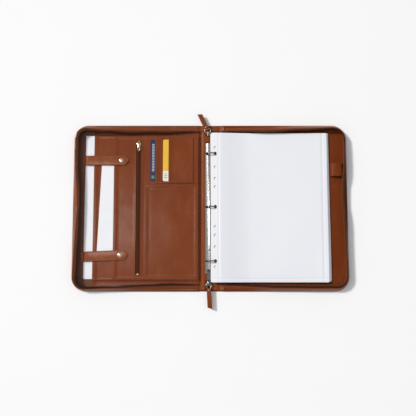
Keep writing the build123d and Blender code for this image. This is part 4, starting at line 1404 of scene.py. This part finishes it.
# Each lamp: kind, settings, place in metres, the point it is aimed at.
LAMPS = {
    "window": ("SUN", {"energy": 2.5, "angle": math.radians(9), "color": (1.0, 0.985, 0.96)},
               (-1.0, 0.5, 0.95), (0, 0, 0)),
    "softbox": ("AREA", {"shape": "RECTANGLE", "size": 0.10, "size_y": 0.60, "energy": 2.6},
                (-0.60, 0.13, 1.5), (-0.17, 0.0, 0)),
}
CAMERA_LENS = 56.1
CAMERA_PLACE = (-0.0045, -0.148, 1.30)
CAMERA_TARGET = (-0.0045, -0.001, 0.0)


def floor():
    bpy.ops.mesh.primitive_plane_add(size=160)
    plane = bpy.context.object
    plane.name = "floor"
    plane.location.z = -0.0002
    s = Shader("pale_floor", (0.95, 0.95, 0.955), 0.9, 0.1)
    s.cloud(3.0, (0.94, 0.94, 0.95), 0.5)
    plane.data.materials.append(s.material)


def aimed(name, data, place, target):
    """A lamp or camera at place, looking at target."""
    thing = bpy.data.objects.new(name, data)
    bpy.context.scene.collection.objects.link(thing)
    thing.location = place
    thing.rotation_mode = "QUATERNION"
    thing.rotation_quaternion = (Vector(target) - Vector(place)).to_track_quat("-Z", "Y")
    return thing


def lights():
    world = bpy.data.worlds.new("soft_room")
    world.use_nodes = True
    background = world.node_tree.nodes["Background"].inputs
    background["Color"].default_value = rgba(ROOM_COLOUR)
    background["Strength"].default_value = ROOM_STRENGTH
    bpy.context.scene.world = world
    for name, (kind, settings, place, target) in LAMPS.items():
        lamp = bpy.data.lights.new(name, kind)
        for key, value in settings.items():
            setattr(lamp, key, value)
        aimed(name, lamp, place, target)


def camera():
    data = bpy.data.cameras.new("camera")
    data.lens = CAMERA_LENS
    data.clip_start = 0.05
    bpy.context.scene.camera = aimed("camera", data, CAMERA_PLACE, CAMERA_TARGET)


# ================================================================ assembly
def build():
    dress_cad_nodes()
    covers = ((-1, "front_cover", FRONT_WALL, SUEDE), (1, "back_cover", BACK_WALL, DEEP_TAN))
    for side, body, leans, lining in covers:
        cover_hide(side, body)
        spine_gusset(side, body)
        cover_lining(side, body, lining)
        Wall(side, body, leans).build()
    for index in range(SLEEVE_COUNT):
        punched_pocket(index)
    pen_loop()
    document_sheets()
    note_sheet()
    front_pockets()
    card("navy_card", NAVY, "navy_plastic")
    card("yellow_card", YELLOW, "yellow_plastic")
    pocket_zip()
    strap_pads()
    strap("upper", 0.0)
    strap("lower", 2.5)
    for end, up in (("head", 1), ("foot", -1)):
        spine_end(end, up)
    for end, up in (("top", 1), ("bottom", -1)):
        x, y, _ = joint_point(f"{end}_pull_lift")
        slider(f"{end}_slider", f"{end}_zip_slider", x, y, up, MAIN_SLIDER, WORN, "steel")
        pull_ring(end)
        pull_tab(end, up)


build()
floor()
lights()
camera()
bpy.context.scene.view_settings.view_transform = "Standard"
